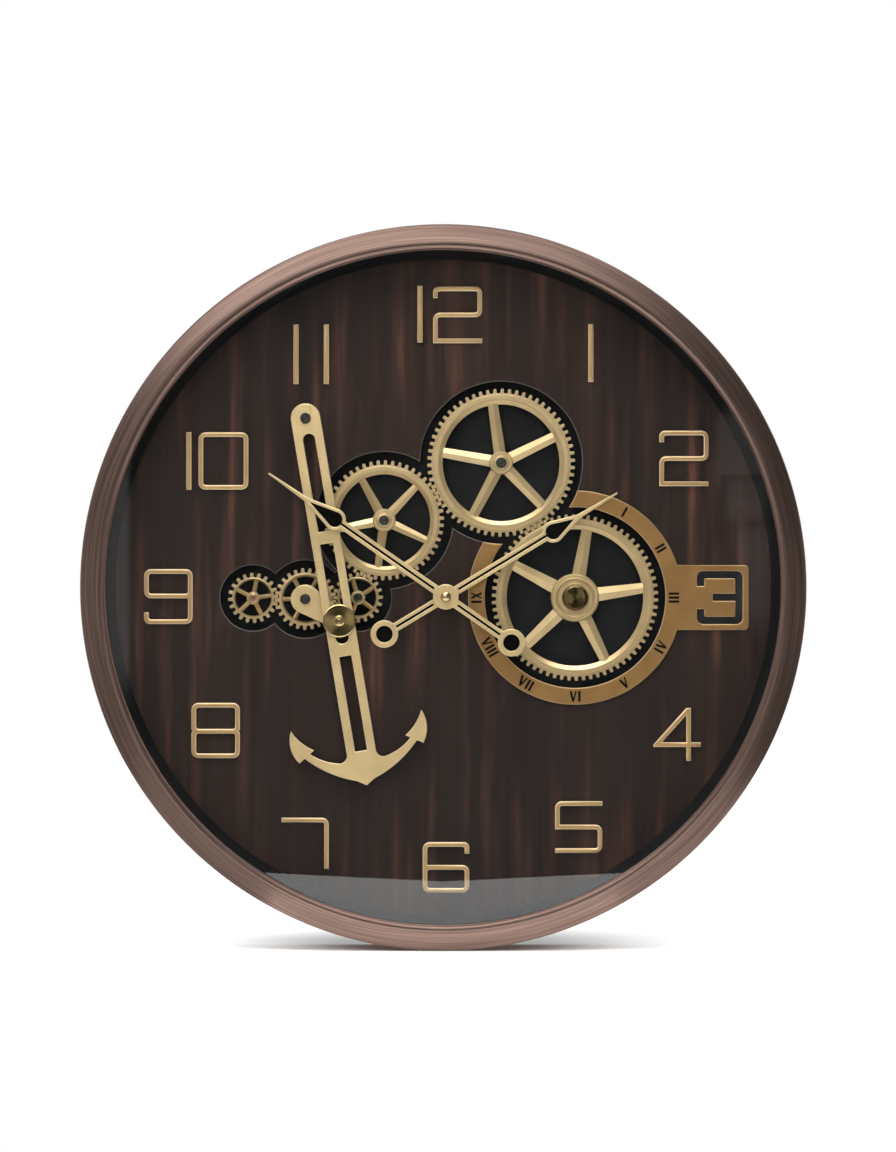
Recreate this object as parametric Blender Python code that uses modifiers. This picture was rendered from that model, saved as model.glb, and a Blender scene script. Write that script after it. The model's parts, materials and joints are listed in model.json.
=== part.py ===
"""A round wall clock with a cut-open dial, a train of six gears and a swinging anchor.

The clock is drawn lying on its back: x runs right, y up the dial and z from the wall to the viewer.
One empty then stands it up and hangs it from the origin, the top of its keyhole, where the wall's
screw holds it. The front faces -Y and the wall is the plane y = 0.
"""

import math

import bmesh
import bpy
from mathutils import Vector

MM = 0.001

# Clearances: between pieces that touch, round pieces that turn, and how far a cutter reaches past a face
SEAT = 0.3 * MM
RUN = 0.3 * MM
OVERCUT = 1.0 * MM

# Case
CASE_RADIUS = 200.0 * MM
CASE_WALL = 8.5 * MM
BEZEL_WIDTH = 14.6 * MM
LIP_EDGE = 1.4 * MM
CROWN_HEIGHT = 3.0 * MM
CROWN_INSET = 8.0 * MM
SHOULDER_DROP = 9.0 * MM
SPACER_WALL = 4.8 * MM
GLASS_THICKNESS = 3.0 * MM
COVER_THICKNESS = 2.5 * MM
COVER_EDGE_INSET = 0.8 * MM
COVER_RIM = 3.0 * MM
CASE_SCREW_INSET = 5.0 * MM
CASE_SCREW_HEAD = 2.3 * MM
CASE_SCREW_HEAD_HEIGHT = 1.4 * MM
CASE_SCREW_SHANK = 1.3 * MM
CASE_SCREW_LENGTH = 12.0 * MM
CASE_SCREW_SUNK = 0.2 * MM
CASE_SCREW_BEARINGS = (45, 135, 225, 315)

# Hanger
HANGER_INSET = 50.0 * MM
HANGER_WIDTH = 44.0 * MM
HANGER_TALL = 28.0 * MM
HANGER_THICKNESS = 1.2 * MM
KEYHOLE_RADIUS = 5.0 * MM
KEYHOLE_SLOT_RADIUS = 2.4 * MM
KEYHOLE_TRAVEL = 9.0 * MM
KEYHOLE_MARGIN = 1.4 * MM
STAKE_SPACING = 32.0 * MM
STAKE_RADIUS = 1.6 * MM
STAKE_HEAD_RADIUS = 2.8 * MM
STAKE_HEAD_HEIGHT = 0.8 * MM

# Modules behind the dial, each made round an AA cell
MODULE_SETBACK = 3.2 * MM
MODULE_WINDOW_MARGIN = 3.0 * MM
MODULE_WALL = 1.5 * MM
MODULE_COVER_THICKNESS = 2.2 * MM
MODULE_CORNER = 3.0 * MM
CELL_RADIUS = 7.1 * MM
CELL_LENGTH = 49.0 * MM
CELL_NUB_RADIUS = 2.7 * MM
CELL_NUB_LENGTH = 1.4 * MM
CELL_BAY_MARGIN = 0.4 * MM
CELL_BAY_EDGE = 0.2 * MM

# Gear tray
TRAY_FLOOR = 2.0 * MM
TRAY_WALL = 2.4 * MM
TRAY_MARGIN = 1.0 * MM
POST_HEIGHT = 8.7 * MM
POST_RADIUS = 4.2 * MM
HUB_COLUMN_RADIUS = 16.0 * MM
LUG_RADIUS = 4.6 * MM
LUG_BEARINGS = {"upper_gear": 90, "small_right_gear": 270}
TRAY_SCREW_HEAD = 2.6 * MM
TRAY_SCREW_HEAD_HEIGHT = 1.5 * MM
TRAY_SCREW_SHANK = 1.3 * MM
TRAY_SCREW_BITE = 2.0 * MM
CLIP_WIDTH = 20.0 * MM
CLIP_STEP = 0.5 * MM
CLIP_THICKNESS = 2.0 * MM
CLIP_HOOK = 1.2 * MM
CLIP_HOOK_HEIGHT = 1.6 * MM
CLIP_PAD_LIFT = 0.4 * MM
CLIP_PAD_THICKNESS = 2.4 * MM
CLIP_PAD_MARGIN = 0.6 * MM

# Dial
DIAL_THICKNESS = 3.0 * MM
SUBDIAL_THICKNESS = 1.5 * MM
SUBDIAL_WIDTH = 9.2 * MM
TAB_REACH = 96.1 * MM
TAB_HEIGHT = 35.9 * MM
TAB_CORNER = 2.5 * MM
THREE_MARGIN = 3.45 * MM
THREE_WIDTH = 25.3 * MM
THREE_HEIGHT = 29.3 * MM
THREE_STROKE = 3.5 * MM
THREE_HOOK = 8.3 * MM
THREE_BAR_START = 8.8 * MM
THREE_BAR_RISE = 14.8 * MM
THREE_CORNER = 3.3 * MM

# Raised numerals
NUMERAL_THICKNESS = 1.8 * MM
STROKE = 2.9 * MM
STROKE_CORNER = 2.4 * MM
LEAST_CORNER = 0.2 * MM
HOOK = 7.0 * MM
WAIST = 0.9 * MM
# name: (bearing clockwise from 12, then in mm: inset of the centre from the spacer, width, height, and the
# height of the middle bar). A plain stroke is as wide as STROKE, and has no middle bar.
NUMERALS = {
    "numeral_12_one": (355.12, 34.75, None, 31.4, None),
    "numeral_12_two": (3.00, 35.49, 27.2, 31.4, 15.7),
    "numeral_1": (32.20, 33.25, None, 32.0, None),
    "numeral_2": (61.82, 35.41, 27.2, 30.7, 15.3),
    "numeral_4": (122.19, 33.61, 26.2, 29.3, 9.0),
    "numeral_5": (150.54, 34.11, 26.2, 28.6, 14.3),
    "numeral_6": (179.45, 31.49, 25.8, 28.0, 14.0),
    "numeral_7": (208.35, 25.50, 26.2, 28.4, None),
    "numeral_8": (237.83, 37.66, 26.8, 30.6, 14.9),
    "numeral_9": (268.08, 34.21, 26.9, 30.4, 14.9),
    "numeral_10_one": (296.40, 29.20, None, 31.8, None),
    "numeral_10_zero": (299.89, 46.14, 27.6, 31.8, None),
    "numeral_11_left": (327.70, 33.90, None, 33.0, None),
    "numeral_11_right": (333.35, 42.17, None, 33.0, None),
}
FOUR_STEM_INSET = 5.4 * MM

# Gear train
MODULE = 1.29 * MM
ADDENDUM = 0.75
DEDENDUM = 1.1
ROOT_WIDTH = 1.62
TIP_WIDTH = 0.78
GEAR_FACE = 4.0 * MM
GEAR_SETBACK = 2.0 * MM
AXLE_RADIUS = 1.7 * MM
AXLE_DEPTH = 7.0 * MM
# The upper gear's centre, from the spacer's right side and up the dial from the middle
UPPER_GEAR_INSET = 154.4 * MM
UPPER_GEAR_HEIGHT = 69.0 * MM
UPPER_GEAR_PHASE = 2.0
TEETH = {
    "upper_gear": 62,
    "right_gear": 70,
    "middle_gear": 50,
    "small_right_gear": 20,
    "small_centre_gear": 25,
    "small_left_gear": 20,
}
# name: (the gear that it meshes with, bearing from that gear)
MESHES = {
    "right_gear": ("upper_gear", -61.28),
    "middle_gear": ("upper_gear", 206.21),
    "small_right_gear": ("middle_gear", 251.28),
    "small_centre_gear": ("small_right_gear", 181.64),
    "small_left_gear": ("small_centre_gear", 178.81),
}
# How far the dial's window stands off each gear's teeth
WINDOW_MARGIN = {
    "upper_gear": 4.0 * MM,
    "right_gear": 3.9 * MM,
    "middle_gear": 4.8 * MM,
    "small_right_gear": 4.8 * MM,
    "small_centre_gear": 4.5 * MM,
    "small_left_gear": 4.4 * MM,
}
# name: (number of spokes, bearing of the first)
SPOKES = {
    "upper_gear": (5, 26.0),
    "right_gear": (5, 8.0),
    "middle_gear": (5, -25.3),
    "small_right_gear": (5, -38.0),
    "small_centre_gear": (6, 0.0),
    "small_left_gear": (5, 8.0),
}
# name: (rim below the teeth, hub radius, width of a spoke at the rim and at the hub)
WHEELS = {
    "upper_gear": (6.2 * MM, 6.5 * MM, 5.5 * MM, 6.5 * MM),
    "right_gear": (5.9 * MM, 13.4 * MM, 5.7 * MM, 8.0 * MM),
    "middle_gear": (5.3 * MM, 6.4 * MM, 3.8 * MM, 5.3 * MM),
    "small_right_gear": (1.6 * MM, 4.0 * MM, 2.3 * MM, 2.3 * MM),
    "small_centre_gear": (2.3 * MM, 4.6 * MM, 2.3 * MM, 2.3 * MM),
    "small_left_gear": (1.6 * MM, 3.6 * MM, 2.3 * MM, 2.3 * MM),
}
HUB_RISE = 0.8 * MM
HUB_SINK = 1.5 * MM
HUB_STEP = 0.5 * MM
RIGHT_HUB_STEP_RADIUS = 10.8 * MM
AXLE_HEAD = {
    "upper_gear_axle": 2.9 * MM,
    "middle_gear_axle": 2.7 * MM,
    "small_right_gear_axle": 2.5 * MM,
    "small_centre_gear_axle": 2.9 * MM,
    "right_gear_axle": 6.5 * MM,
    "motor_shaft": 2.3 * MM,
}
AXLE_HEAD_HEIGHT = 1.0 * MM
HEAD_CHAMFER = 0.3 * MM
DOME_HEIGHT = 2.6 * MM
DOME_EDGE = 0.65 * MM
MOTOR_SHAFT_RADIUS = 1.6 * MM
MOTOR_SHAFT_DEPTH = 11.0 * MM

# Crank and anchor
CRANK_CLEARANCE = 2.0 * MM
CRANK_THICKNESS = 1.2 * MM
CRANK_HEAD_RADIUS = 8.0 * MM
CRANK_END_RADIUS = 5.0 * MM
CRANK_RADIUS = 22.4 * MM
CRANK_BEARING = -32.4
CRANK_STUB_RADIUS = 2.6 * MM
ANCHOR_CLEARANCE = 1.8 * MM
ANCHOR_THICKNESS = 2.0 * MM
ANCHOR_PIVOT_OFFSET = (-108.1 * MM, 24.4 * MM)
ANCHOR_HALF_WIDTH = 8.15 * MM
ANCHOR_SCREW_HEAD = 3.0 * MM
ANCHOR_SCREW_HEAD_HEIGHT = 1.5 * MM
ANCHOR_SHOULDER = 2.0 * MM
ANCHOR_NECK = 3.2 * MM
ANCHOR_FLANGE = 5.0 * MM
ANCHOR_FLANGE_HEIGHT = 1.0 * MM
ANCHOR_THREAD = 1.3 * MM
UPPER_SLOT_START = 8.7 * MM
LOWER_SLOT_END = 186.2 * MM
ARM_BRIDGE = 6.95 * MM
SIDE_SLOT_WIDTH = 6.7 * MM
CRANK_SLOT_WIDTH = 7.3 * MM
CRANK_SLOT_SPARE = 3.3 * MM
SPIGOT_RADIUS = 3.3 * MM
DISC_RADIUS = 9.1 * MM
DISC_THICKNESS = 1.2 * MM
DISC_SCREW_HEAD = 3.05 * MM
DISC_SCREW_HEAD_HEIGHT = 1.5 * MM
DISC_SCREW_SHANK = 1.2 * MM
# The fluke's outline beside the arm's axis, in mm: across it, and down it from the pivot
FLUKE_FILLET_DROP = 189.0
FLUKE_THROAT = (11.0, 191.2)
FLUKE_INNER_NECK = (28.1, 183.4)
FLUKE_INNER_BARB = (25.6, 181.7)
FLUKE_POINT = (36.5, 169.3)
FLUKE_OUTER_BARB = (34.7, 187.5)
FLUKE_OUTER_NECK = (31.4, 185.4)
FLUKE_KEEL = (5.0, 202.3)
FLUKE_TIP = 205.5
# How far the fluke's edges bow out from their chords, to the left of the way that they run
THROAT_BOW = 1.3
INNER_BOW = -1.2
OUTER_BOW = -2.6
KEEL_BOW = -2.0

# Hands
HAND_OFFSET = (-30.6 * MM, -74.2 * MM)
HAND_CLEARANCE = 1.0 * MM
HAND_GAP = 0.9 * MM
HAND_THICKNESS = 1.2 * MM
HAND_HALF_WIDTH = 2.5 * MM
HAND_SLOT_HALF_WIDTH = 0.4 * MM
HAND_SLOT_MARGIN = 1.0 * MM
HAND_HUB_RADIUS = 7.0 * MM
HAND_RING_RADIUS = 7.6 * MM
HAND_RING_HOLE = 4.6 * MM
HAND_LEAF_RADIUS = 6.0 * MM
HAND_LEAF_HOLE = 3.7 * MM
HAND_LEAF_SHOULDER = 25
HAND_TIP_HALF_WIDTH = 1.3 * MM
HAND_POINT_HALF_WIDTH = 0.4 * MM
HAND_LEAF_TOE = 4.5 * MM
# length, leaf's centre, leaf's point, tail ring's centre, and the bearing from 12 o'clock
MINUTE_HAND = (118.9 * MM, 74.5 * MM, 93.5 * MM, 44.1 * MM, 55.1)
HOUR_HAND = (110.4 * MM, 69.2 * MM, 84.9 * MM, 39.6 * MM, -58.8)
NUT_RADIUS = 2.9 * MM
NUT_HEIGHT = 2.5 * MM
NUT_EDGE = 1.0 * MM
NUT_ROOF = 0.9 * MM
GLASS_CLEARANCE = 1.6 * MM

# Movement
BUSH_RADIUS = 4.0 * MM
PIPE_RADIUS = 2.4 * MM
ARBOR_RADIUS = 1.2 * MM
MOVEMENT_NUT_RADIUS = 6.2 * MM
MOVEMENT_NUT_HEIGHT = 2.5 * MM
MOTION_MODULE = 0.5 * MM
CANNON_TEETH = 12
MOTION_TEETH = 36
MOTION_PINION_TEETH = 10
HOUR_TEETH = 40
KNOB_TEETH = 12
MOTION_BEARING = 90.0
KNOB_BEARING = 0.0
MOTION_PIN_RADIUS = 0.8 * MM
MOTION_WHEEL_LIFT = 5.3 * MM
MOTION_WHEEL_FACE = 1.6 * MM
PINION_SPARE = 0.2 * MM
HOUR_WHEEL_FACE = 1.5 * MM
HOUR_WHEEL_DROP = 1.2 * MM
KNOB_RADIUS = 4.5 * MM
KNOB_HEIGHT = 2.6 * MM
COIL_RADIUS = 3.4 * MM
COIL_FLANGE_RADIUS = 4.2 * MM
COIL_LENGTH = 20.0 * MM
COIL_OFFSET = (-19.0 * MM, 13.0 * MM)
COIL_FLANGE = 1.2 * MM

# Radii and sizes that follow
CASE_BORE = CASE_RADIUS - CASE_WALL
LIP_INNER_RADIUS = CASE_RADIUS - BEZEL_WIDTH
PANE_RADIUS = CASE_BORE - SEAT
SPACER_INNER_RADIUS = PANE_RADIUS - SPACER_WALL
HANGER_HEIGHT = CASE_RADIUS - HANGER_INSET
THREE_OFFSET = TAB_REACH - THREE_MARGIN - THREE_WIDTH / 2
BAY_LENGTH = CELL_LENGTH + 2 * (CELL_NUB_LENGTH + CELL_BAY_MARGIN)
BAY_WIDTH = 2 * (CELL_RADIUS + CELL_BAY_MARGIN)
MODULE_SIZE = BAY_LENGTH + 2 * (CELL_BAY_EDGE + MODULE_WALL)
MODULE_DEPTH = 2 * CELL_RADIUS + SEAT + MODULE_WALL
CELL_OFFSET = MODULE_SIZE / 2 - MODULE_WALL - CELL_BAY_EDGE - BAY_WIDTH / 2

# Places on the dial: the train starts from the upper gear, and the others keep their distance from it
UPPER_GEAR_CENTRE = (SPACER_INNER_RADIUS - UPPER_GEAR_INSET, UPPER_GEAR_HEIGHT)
HAND_CENTRE = (UPPER_GEAR_CENTRE[0] + HAND_OFFSET[0], UPPER_GEAR_CENTRE[1] + HAND_OFFSET[1])
ANCHOR_PIVOT = (
    UPPER_GEAR_CENTRE[0] + ANCHOR_PIVOT_OFFSET[0],
    UPPER_GEAR_CENTRE[1] + ANCHOR_PIVOT_OFFSET[1],
)

# Depths from the wall, each from the one before it
MODULE_BACK = COVER_THICKNESS + MODULE_SETBACK
MODULE_FRONT = MODULE_BACK + MODULE_DEPTH
TRAY_BACK = MODULE_FRONT + SEAT
TRAY_FLOOR_FRONT = TRAY_BACK + TRAY_FLOOR
POST_FRONT = TRAY_FLOOR_FRONT + POST_HEIGHT
GEAR_BACK = POST_FRONT + SEAT
GEAR_FRONT = GEAR_BACK + GEAR_FACE
DIAL_FRONT = GEAR_FRONT + GEAR_SETBACK
DIAL_BACK = DIAL_FRONT - DIAL_THICKNESS
CRANK_BACK = DIAL_FRONT + CRANK_CLEARANCE
CRANK_FRONT = CRANK_BACK + CRANK_THICKNESS
ANCHOR_BACK = CRANK_FRONT + ANCHOR_CLEARANCE
ANCHOR_FRONT = ANCHOR_BACK + ANCHOR_THICKNESS
DISC_BACK = ANCHOR_FRONT + SEAT
DISC_FRONT = DISC_BACK + DISC_THICKNESS
DISC_SCREW_BACK = DISC_FRONT + SEAT
DISC_SCREW_FRONT = DISC_SCREW_BACK + DISC_SCREW_HEAD_HEIGHT
HOUR_BACK = DISC_SCREW_FRONT + HAND_CLEARANCE
HOUR_FRONT = HOUR_BACK + HAND_THICKNESS
MINUTE_BACK = HOUR_FRONT + HAND_GAP
MINUTE_FRONT = MINUTE_BACK + HAND_THICKNESS
NUT_BACK = MINUTE_FRONT + SEAT
NUT_FRONT = NUT_BACK + NUT_HEIGHT
GLASS_BACK = NUT_FRONT + GLASS_CLEARANCE
GLASS_FRONT = GLASS_BACK + GLASS_THICKNESS
LIP_BACK = GLASS_FRONT + SEAT
CASE_FRONT = LIP_BACK + CROWN_HEIGHT

# Facets
RIM_SIDES = 60
WHEEL_SIDES = 16
SCREW_SIDES = 8
HOLE_SIDES = 8
CORNER_STEPS = 2
SLOT_STEPS = 6
TRAY_CHORD = 9 * MM
WINDOW_CHORD = 7 * MM
SPOKE_CHORD = 8 * MM

MATERIALS = {
    "antique copper": ((0.27, 0.16, 0.12), 0.6, 0.42),
    "clear glass": ((0.85, 0.88, 0.88), 0.0, 0.05),
    "black plastic": ((0.012, 0.012, 0.013), 0.0, 0.45),
    "dark wood": ((0.03, 0.014, 0.011), 0.0, 0.5),
    "grey board": ((0.09, 0.085, 0.08), 0.0, 0.8),
    "pale brass": ((0.62, 0.49, 0.26), 0.9, 0.35),
    "gold": ((0.60, 0.42, 0.19), 0.8, 0.35),
    "bronze": ((0.42, 0.24, 0.10), 0.8, 0.4),
    "dark steel": ((0.06, 0.055, 0.05), 0.8, 0.4),
    "steel": ((0.5, 0.5, 0.5), 0.9, 0.3),
    "copper screw": ((0.5, 0.24, 0.13), 0.9, 0.3),
    "white plastic": ((0.75, 0.75, 0.73), 0.0, 0.5),
    "enamelled wire": ((0.45, 0.16, 0.07), 0.6, 0.4),
    "cell wrap": ((0.05, 0.08, 0.2), 0.2, 0.4),
}


# Points and outlines


def polar(radius, degrees, centre=(0.0, 0.0)):
    angle = math.radians(degrees)
    return centre[0] + radius * math.cos(angle), centre[1] + radius * math.sin(angle)


def arc(centre, radius, start, end, steps):
    """The points of an arc from start to end, in degrees, both ends with it."""
    return [polar(radius, start + (end - start) * i / steps, centre) for i in range(steps + 1)]


def circle(centre, radius, sides):
    return arc(centre, radius, 0, 360, sides)[:-1]


def hole(centre, radius, sides=HOLE_SIDES):
    """A round hole whose flats, not its corners, lie at the radius."""
    return circle(centre, radius / math.cos(math.pi / sides), sides)


def bearing(start, end):
    return math.degrees(math.atan2(end[1] - start[1], end[0] - start[0]))


def distance(start, end):
    return math.hypot(end[0] - start[0], end[1] - start[1])


def bowed(start, end, bow, steps):
    """An arc between two points, off their chord by bow, to the left where bow is positive."""
    half = distance(start, end) / 2
    radius = (half * half + bow * bow) / (2 * abs(bow))
    side = math.copysign(1, bow)
    along = bearing(start, end)
    middle = ((start[0] + end[0]) / 2, (start[1] + end[1]) / 2)
    centre = polar(side * (abs(bow) - radius), along + 90, middle)
    first = bearing(centre, start)
    sweep = -side * 2 * math.degrees(math.asin(min(1, half / radius)))
    return arc(centre, radius, first, first + sweep, steps)


def crossing(centre_a, radius_a, centre_b, radius_b):
    """The bearing from circle A's centre to circle B's, and how far to each side of it the two cross."""
    apart = distance(centre_a, centre_b)
    cosine = (apart**2 + radius_a**2 - radius_b**2) / (2 * apart * radius_a)
    if abs(cosine) > 1:
        return bearing(centre_a, centre_b), None
    return bearing(centre_a, centre_b), math.degrees(math.acos(cosine))


def outline_of_union(circles, chord):
    """The outer edge of overlapping circles (centre, radius), walked anticlockwise in steps of a chord."""
    current = min(range(len(circles)), key=lambda i: circles[i][0][0] - circles[i][1])
    angle, turned_by, outline = 180.0, 0.0, []
    first = current
    while True:
        centre, radius = circles[current]
        exits = []
        for other, (other_centre, other_radius) in enumerate(circles):
            if other == current:
                continue
            middle, spread = crossing(centre, radius, other_centre, other_radius)
            if spread is None:
                continue
            ahead = (middle - spread - angle) % 360
            if ahead > 0.01:
                exits.append((ahead, other))
        ahead, other = min(exits)
        home = (180.0 - angle) % 360 if current == first and turned_by else 360
        last = home <= ahead
        sweep = home if last else ahead
        steps = max(2, round(math.radians(sweep) * radius / chord))
        outline += arc(centre, radius, angle, angle + sweep, steps)[:-1]
        if last:
            return outline
        corner = polar(radius, angle + sweep, centre)
        turned_by += sweep
        current = other
        angle = bearing(circles[current][0], corner)


def rounded(corners):
    """A closed outline through corners (x, y, radius), each rounded by its radius."""
    outline = []
    count = len(corners)
    for index, (x, y, radius) in enumerate(corners):
        here = Vector((x, y))
        if not radius:
            outline.append((x, y))
            continue
        before = Vector(corners[index - 1][:2]) - here
        after = Vector(corners[(index + 1) % count][:2]) - here
        half = before.angle(after) / 2
        reach = min(radius / math.tan(half), 0.48 * min(before.length, after.length))
        radius = reach * math.tan(half)
        before.normalize()
        after.normalize()
        middle = here + (before + after).normalized() * radius / math.sin(half)
        start = bearing(middle, here + before * reach)
        end = bearing(middle, here + after * reach)
        sweep = (end - start + 180) % 360 - 180
        outline += arc(middle, radius, start, start + sweep, CORNER_STEPS)
    return outline


def ribbon(path, width):
    """The outline of a stroke along a path of (x, y, radius) corners, with square ends."""
    sides = []
    for side in (1, -1):
        row = []
        for index, (x, y, radius) in enumerate(path):
            here = Vector((x, y))
            ways = []
            if index > 0:
                ways.append((here - Vector(path[index - 1][:2])).normalized())
            if index < len(path) - 1:
                ways.append((Vector(path[index + 1][:2]) - here).normalized())
            normals = [Vector((-way.y, way.x)) for way in ways]
            offset = normals[0]
            corner = 0.0
            if len(normals) == 2:
                offset = (normals[0] + normals[1]) / (1 + normals[0].dot(normals[1]))
                turn = math.copysign(1, ways[0].x * ways[1].y - ways[0].y * ways[1].x)
                corner = max(0.0, radius - side * turn * width / 2) if radius else 0.0
            point = here + offset * side * width / 2
            row.append((point.x, point.y, corner))
        sides.append(row)
    return rounded(sides[0] + sides[1][::-1])


def box_outline(width, height, corner=0.0):
    x, y = width / 2, height / 2
    return rounded([(-x, -y, corner), (x, -y, corner), (x, y, corner), (-x, y, corner)])


def slot_outline(half_width, start, end):
    """A round-ended slot up the y axis, from the low end's centre to the high one's."""
    high = arc((0, end), half_width, 0, 180, SLOT_STEPS)
    low = arc((0, start), half_width, 180, 360, SLOT_STEPS)
    return high + low


def moved(outline, offset):
    return [(x + offset[0], y + offset[1]) for x, y in outline]


def mirrored(half):
    """A whole outline from its right half, which starts and ends on the y axis."""
    return half + [(-x, y) for x, y in half[::-1] if abs(x) > 1e-9]


# Objects


def material(name):
    found = bpy.data.materials.get(name)
    if found:
        return found
    colour, metallic, roughness = MATERIALS[name]
    finish = bpy.data.materials.new(name)
    finish.use_nodes = True
    shader = finish.node_tree.nodes["Principled BSDF"]
    shader.inputs["Base Color"].default_value = (*colour, 1)
    shader.inputs["Metallic"].default_value = metallic
    shader.inputs["Roughness"].default_value = roughness
    finish.diffuse_color = (*colour, 1)
    return finish


def collection(name):
    made = bpy.data.collections.new(name)
    bpy.context.scene.collection.children.link(made)
    return made


def place(name, mesh, finish, location):
    """An object on the stand. A piece without a finish is a cutter or a helper."""
    piece = bpy.data.objects.new(name, mesh)
    piece.parent = stand
    piece.location = location
    if finish:
        mesh.materials.append(material(finish))
        pieces.objects.link(piece)
        return piece
    helpers.objects.link(piece)
    piece.hide_render = True
    piece.display_type = "WIRE"
    return piece


def plate(name, outlines, back, front, finish=None, centre=(0.0, 0.0)):
    """A flat piece: the first outline is its edge, and the others are holes through it."""
    drawing = bpy.data.curves.new(name, "CURVE")
    drawing.dimensions = "2D"
    drawing.fill_mode = "BOTH"
    drawing.extrude = (front - back) / 2
    for outline in outlines:
        spline = drawing.splines.new("POLY")
        spline.points.add(len(outline) - 1)
        for point, (x, y) in zip(spline.points, outline):
            point.co = (x, y, 0, 1)
        spline.use_cyclic_u = True
    sketch = bpy.data.objects.new(name, drawing)
    helpers.objects.link(sketch)
    graph = bpy.context.evaluated_depsgraph_get()
    mesh = bpy.data.meshes.new_from_object(sketch.evaluated_get(graph))
    bpy.data.objects.remove(sketch)
    mesh.name = name
    shape = bmesh.new()
    shape.from_mesh(mesh)
    bmesh.ops.remove_doubles(shape, verts=shape.verts, dist=1e-6)
    bmesh.ops.recalc_face_normals(shape, faces=shape.faces)
    shape.to_mesh(mesh)
    shape.free()
    return place(name, mesh, finish, (*centre, (back + front) / 2))


def turned(name, profile, finish=None, centre=(0.0, 0.0), sides=WHEEL_SIDES):
    """A turned piece. Its profile (radius, depth) runs down the outer side, and closes on itself or the
    axis."""
    mesh = bpy.data.meshes.new(name)
    count = len(profile)
    on_axis = profile[0][0] == 0 and profile[-1][0] == 0
    edges = [(i, (i + 1) % count) for i in range(count - 1 if on_axis else count)]
    mesh.from_pydata([(radius, 0, depth) for radius, depth in profile], edges, [])
    piece = place(name, mesh, finish, (*centre, 0))
    spin = piece.modifiers.new("Turn", "SCREW")
    spin.steps = sides
    spin.render_steps = sides
    spin.use_merge_vertices = True
    spin.merge_threshold = 1e-6
    spin.use_smooth_shade = True
    return piece


def block(name, size, low, finish=None, centre=(0.0, 0.0)):
    """A box of this size, centred across and standing on the depth low."""
    mesh = bpy.data.meshes.new(name)
    shape = bmesh.new()
    bmesh.ops.create_cube(shape, size=1)
    bmesh.ops.scale(shape, vec=size, verts=shape.verts)
    shape.to_mesh(mesh)
    shape.free()
    return place(name, mesh, finish, (*centre, low + size[2] / 2))


def rod(name, radius, back, front, finish=None, centre=(0.0, 0.0), sides=SCREW_SIDES):
    profile = [(0, front), (radius, front), (radius, back), (0, back)]
    return turned(name, profile, finish, centre, sides)


def bore(name, radius, back, front, centre=(0.0, 0.0), sides=HOLE_SIDES):
    """A cutter for a round hole whose flats lie at the radius."""
    return rod(name, radius / math.cos(math.pi / sides), back, front, None, centre, sides)


def boolean(piece, others, operation):
    for other in others:
        change = piece.modifiers.new(operation.title() + " " + other.name, "BOOLEAN")
        change.operation = operation
        change.solver = "EXACT"
        change.object = other


def cut(piece, *others):
    boolean(piece, others, "DIFFERENCE")


def join(piece, *others):
    boolean(piece, others, "UNION")


# Case


def quarter(centre, width, height, steps):
    """The points of a quarter ellipse of a profile, from beside its centre to above it."""
    turns = [math.radians(90 * i / steps) for i in range(steps + 1)]
    return [(centre[0] + width * math.cos(turn), centre[1] + height * math.sin(turn)) for turn in turns]


def case_profile():
    crown = CASE_RADIUS - CROWN_INSET
    lip_front = LIP_BACK + LIP_EDGE
    back = COVER_THICKNESS + SEAT
    profile = [(CASE_BORE, back), (CASE_BORE, LIP_BACK), (LIP_INNER_RADIUS, LIP_BACK)]
    profile += quarter((crown, lip_front), LIP_INNER_RADIUS - crown, CASE_FRONT - lip_front, 2)
    profile += quarter((crown, CASE_FRONT - SHOULDER_DROP), CROWN_INSET, SHOULDER_DROP, 3)[-2::-1]
    return profile + [(CASE_RADIUS, back)]


def case_screw_place(degrees):
    return polar(CASE_RADIUS - CASE_SCREW_INSET, degrees)


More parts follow.
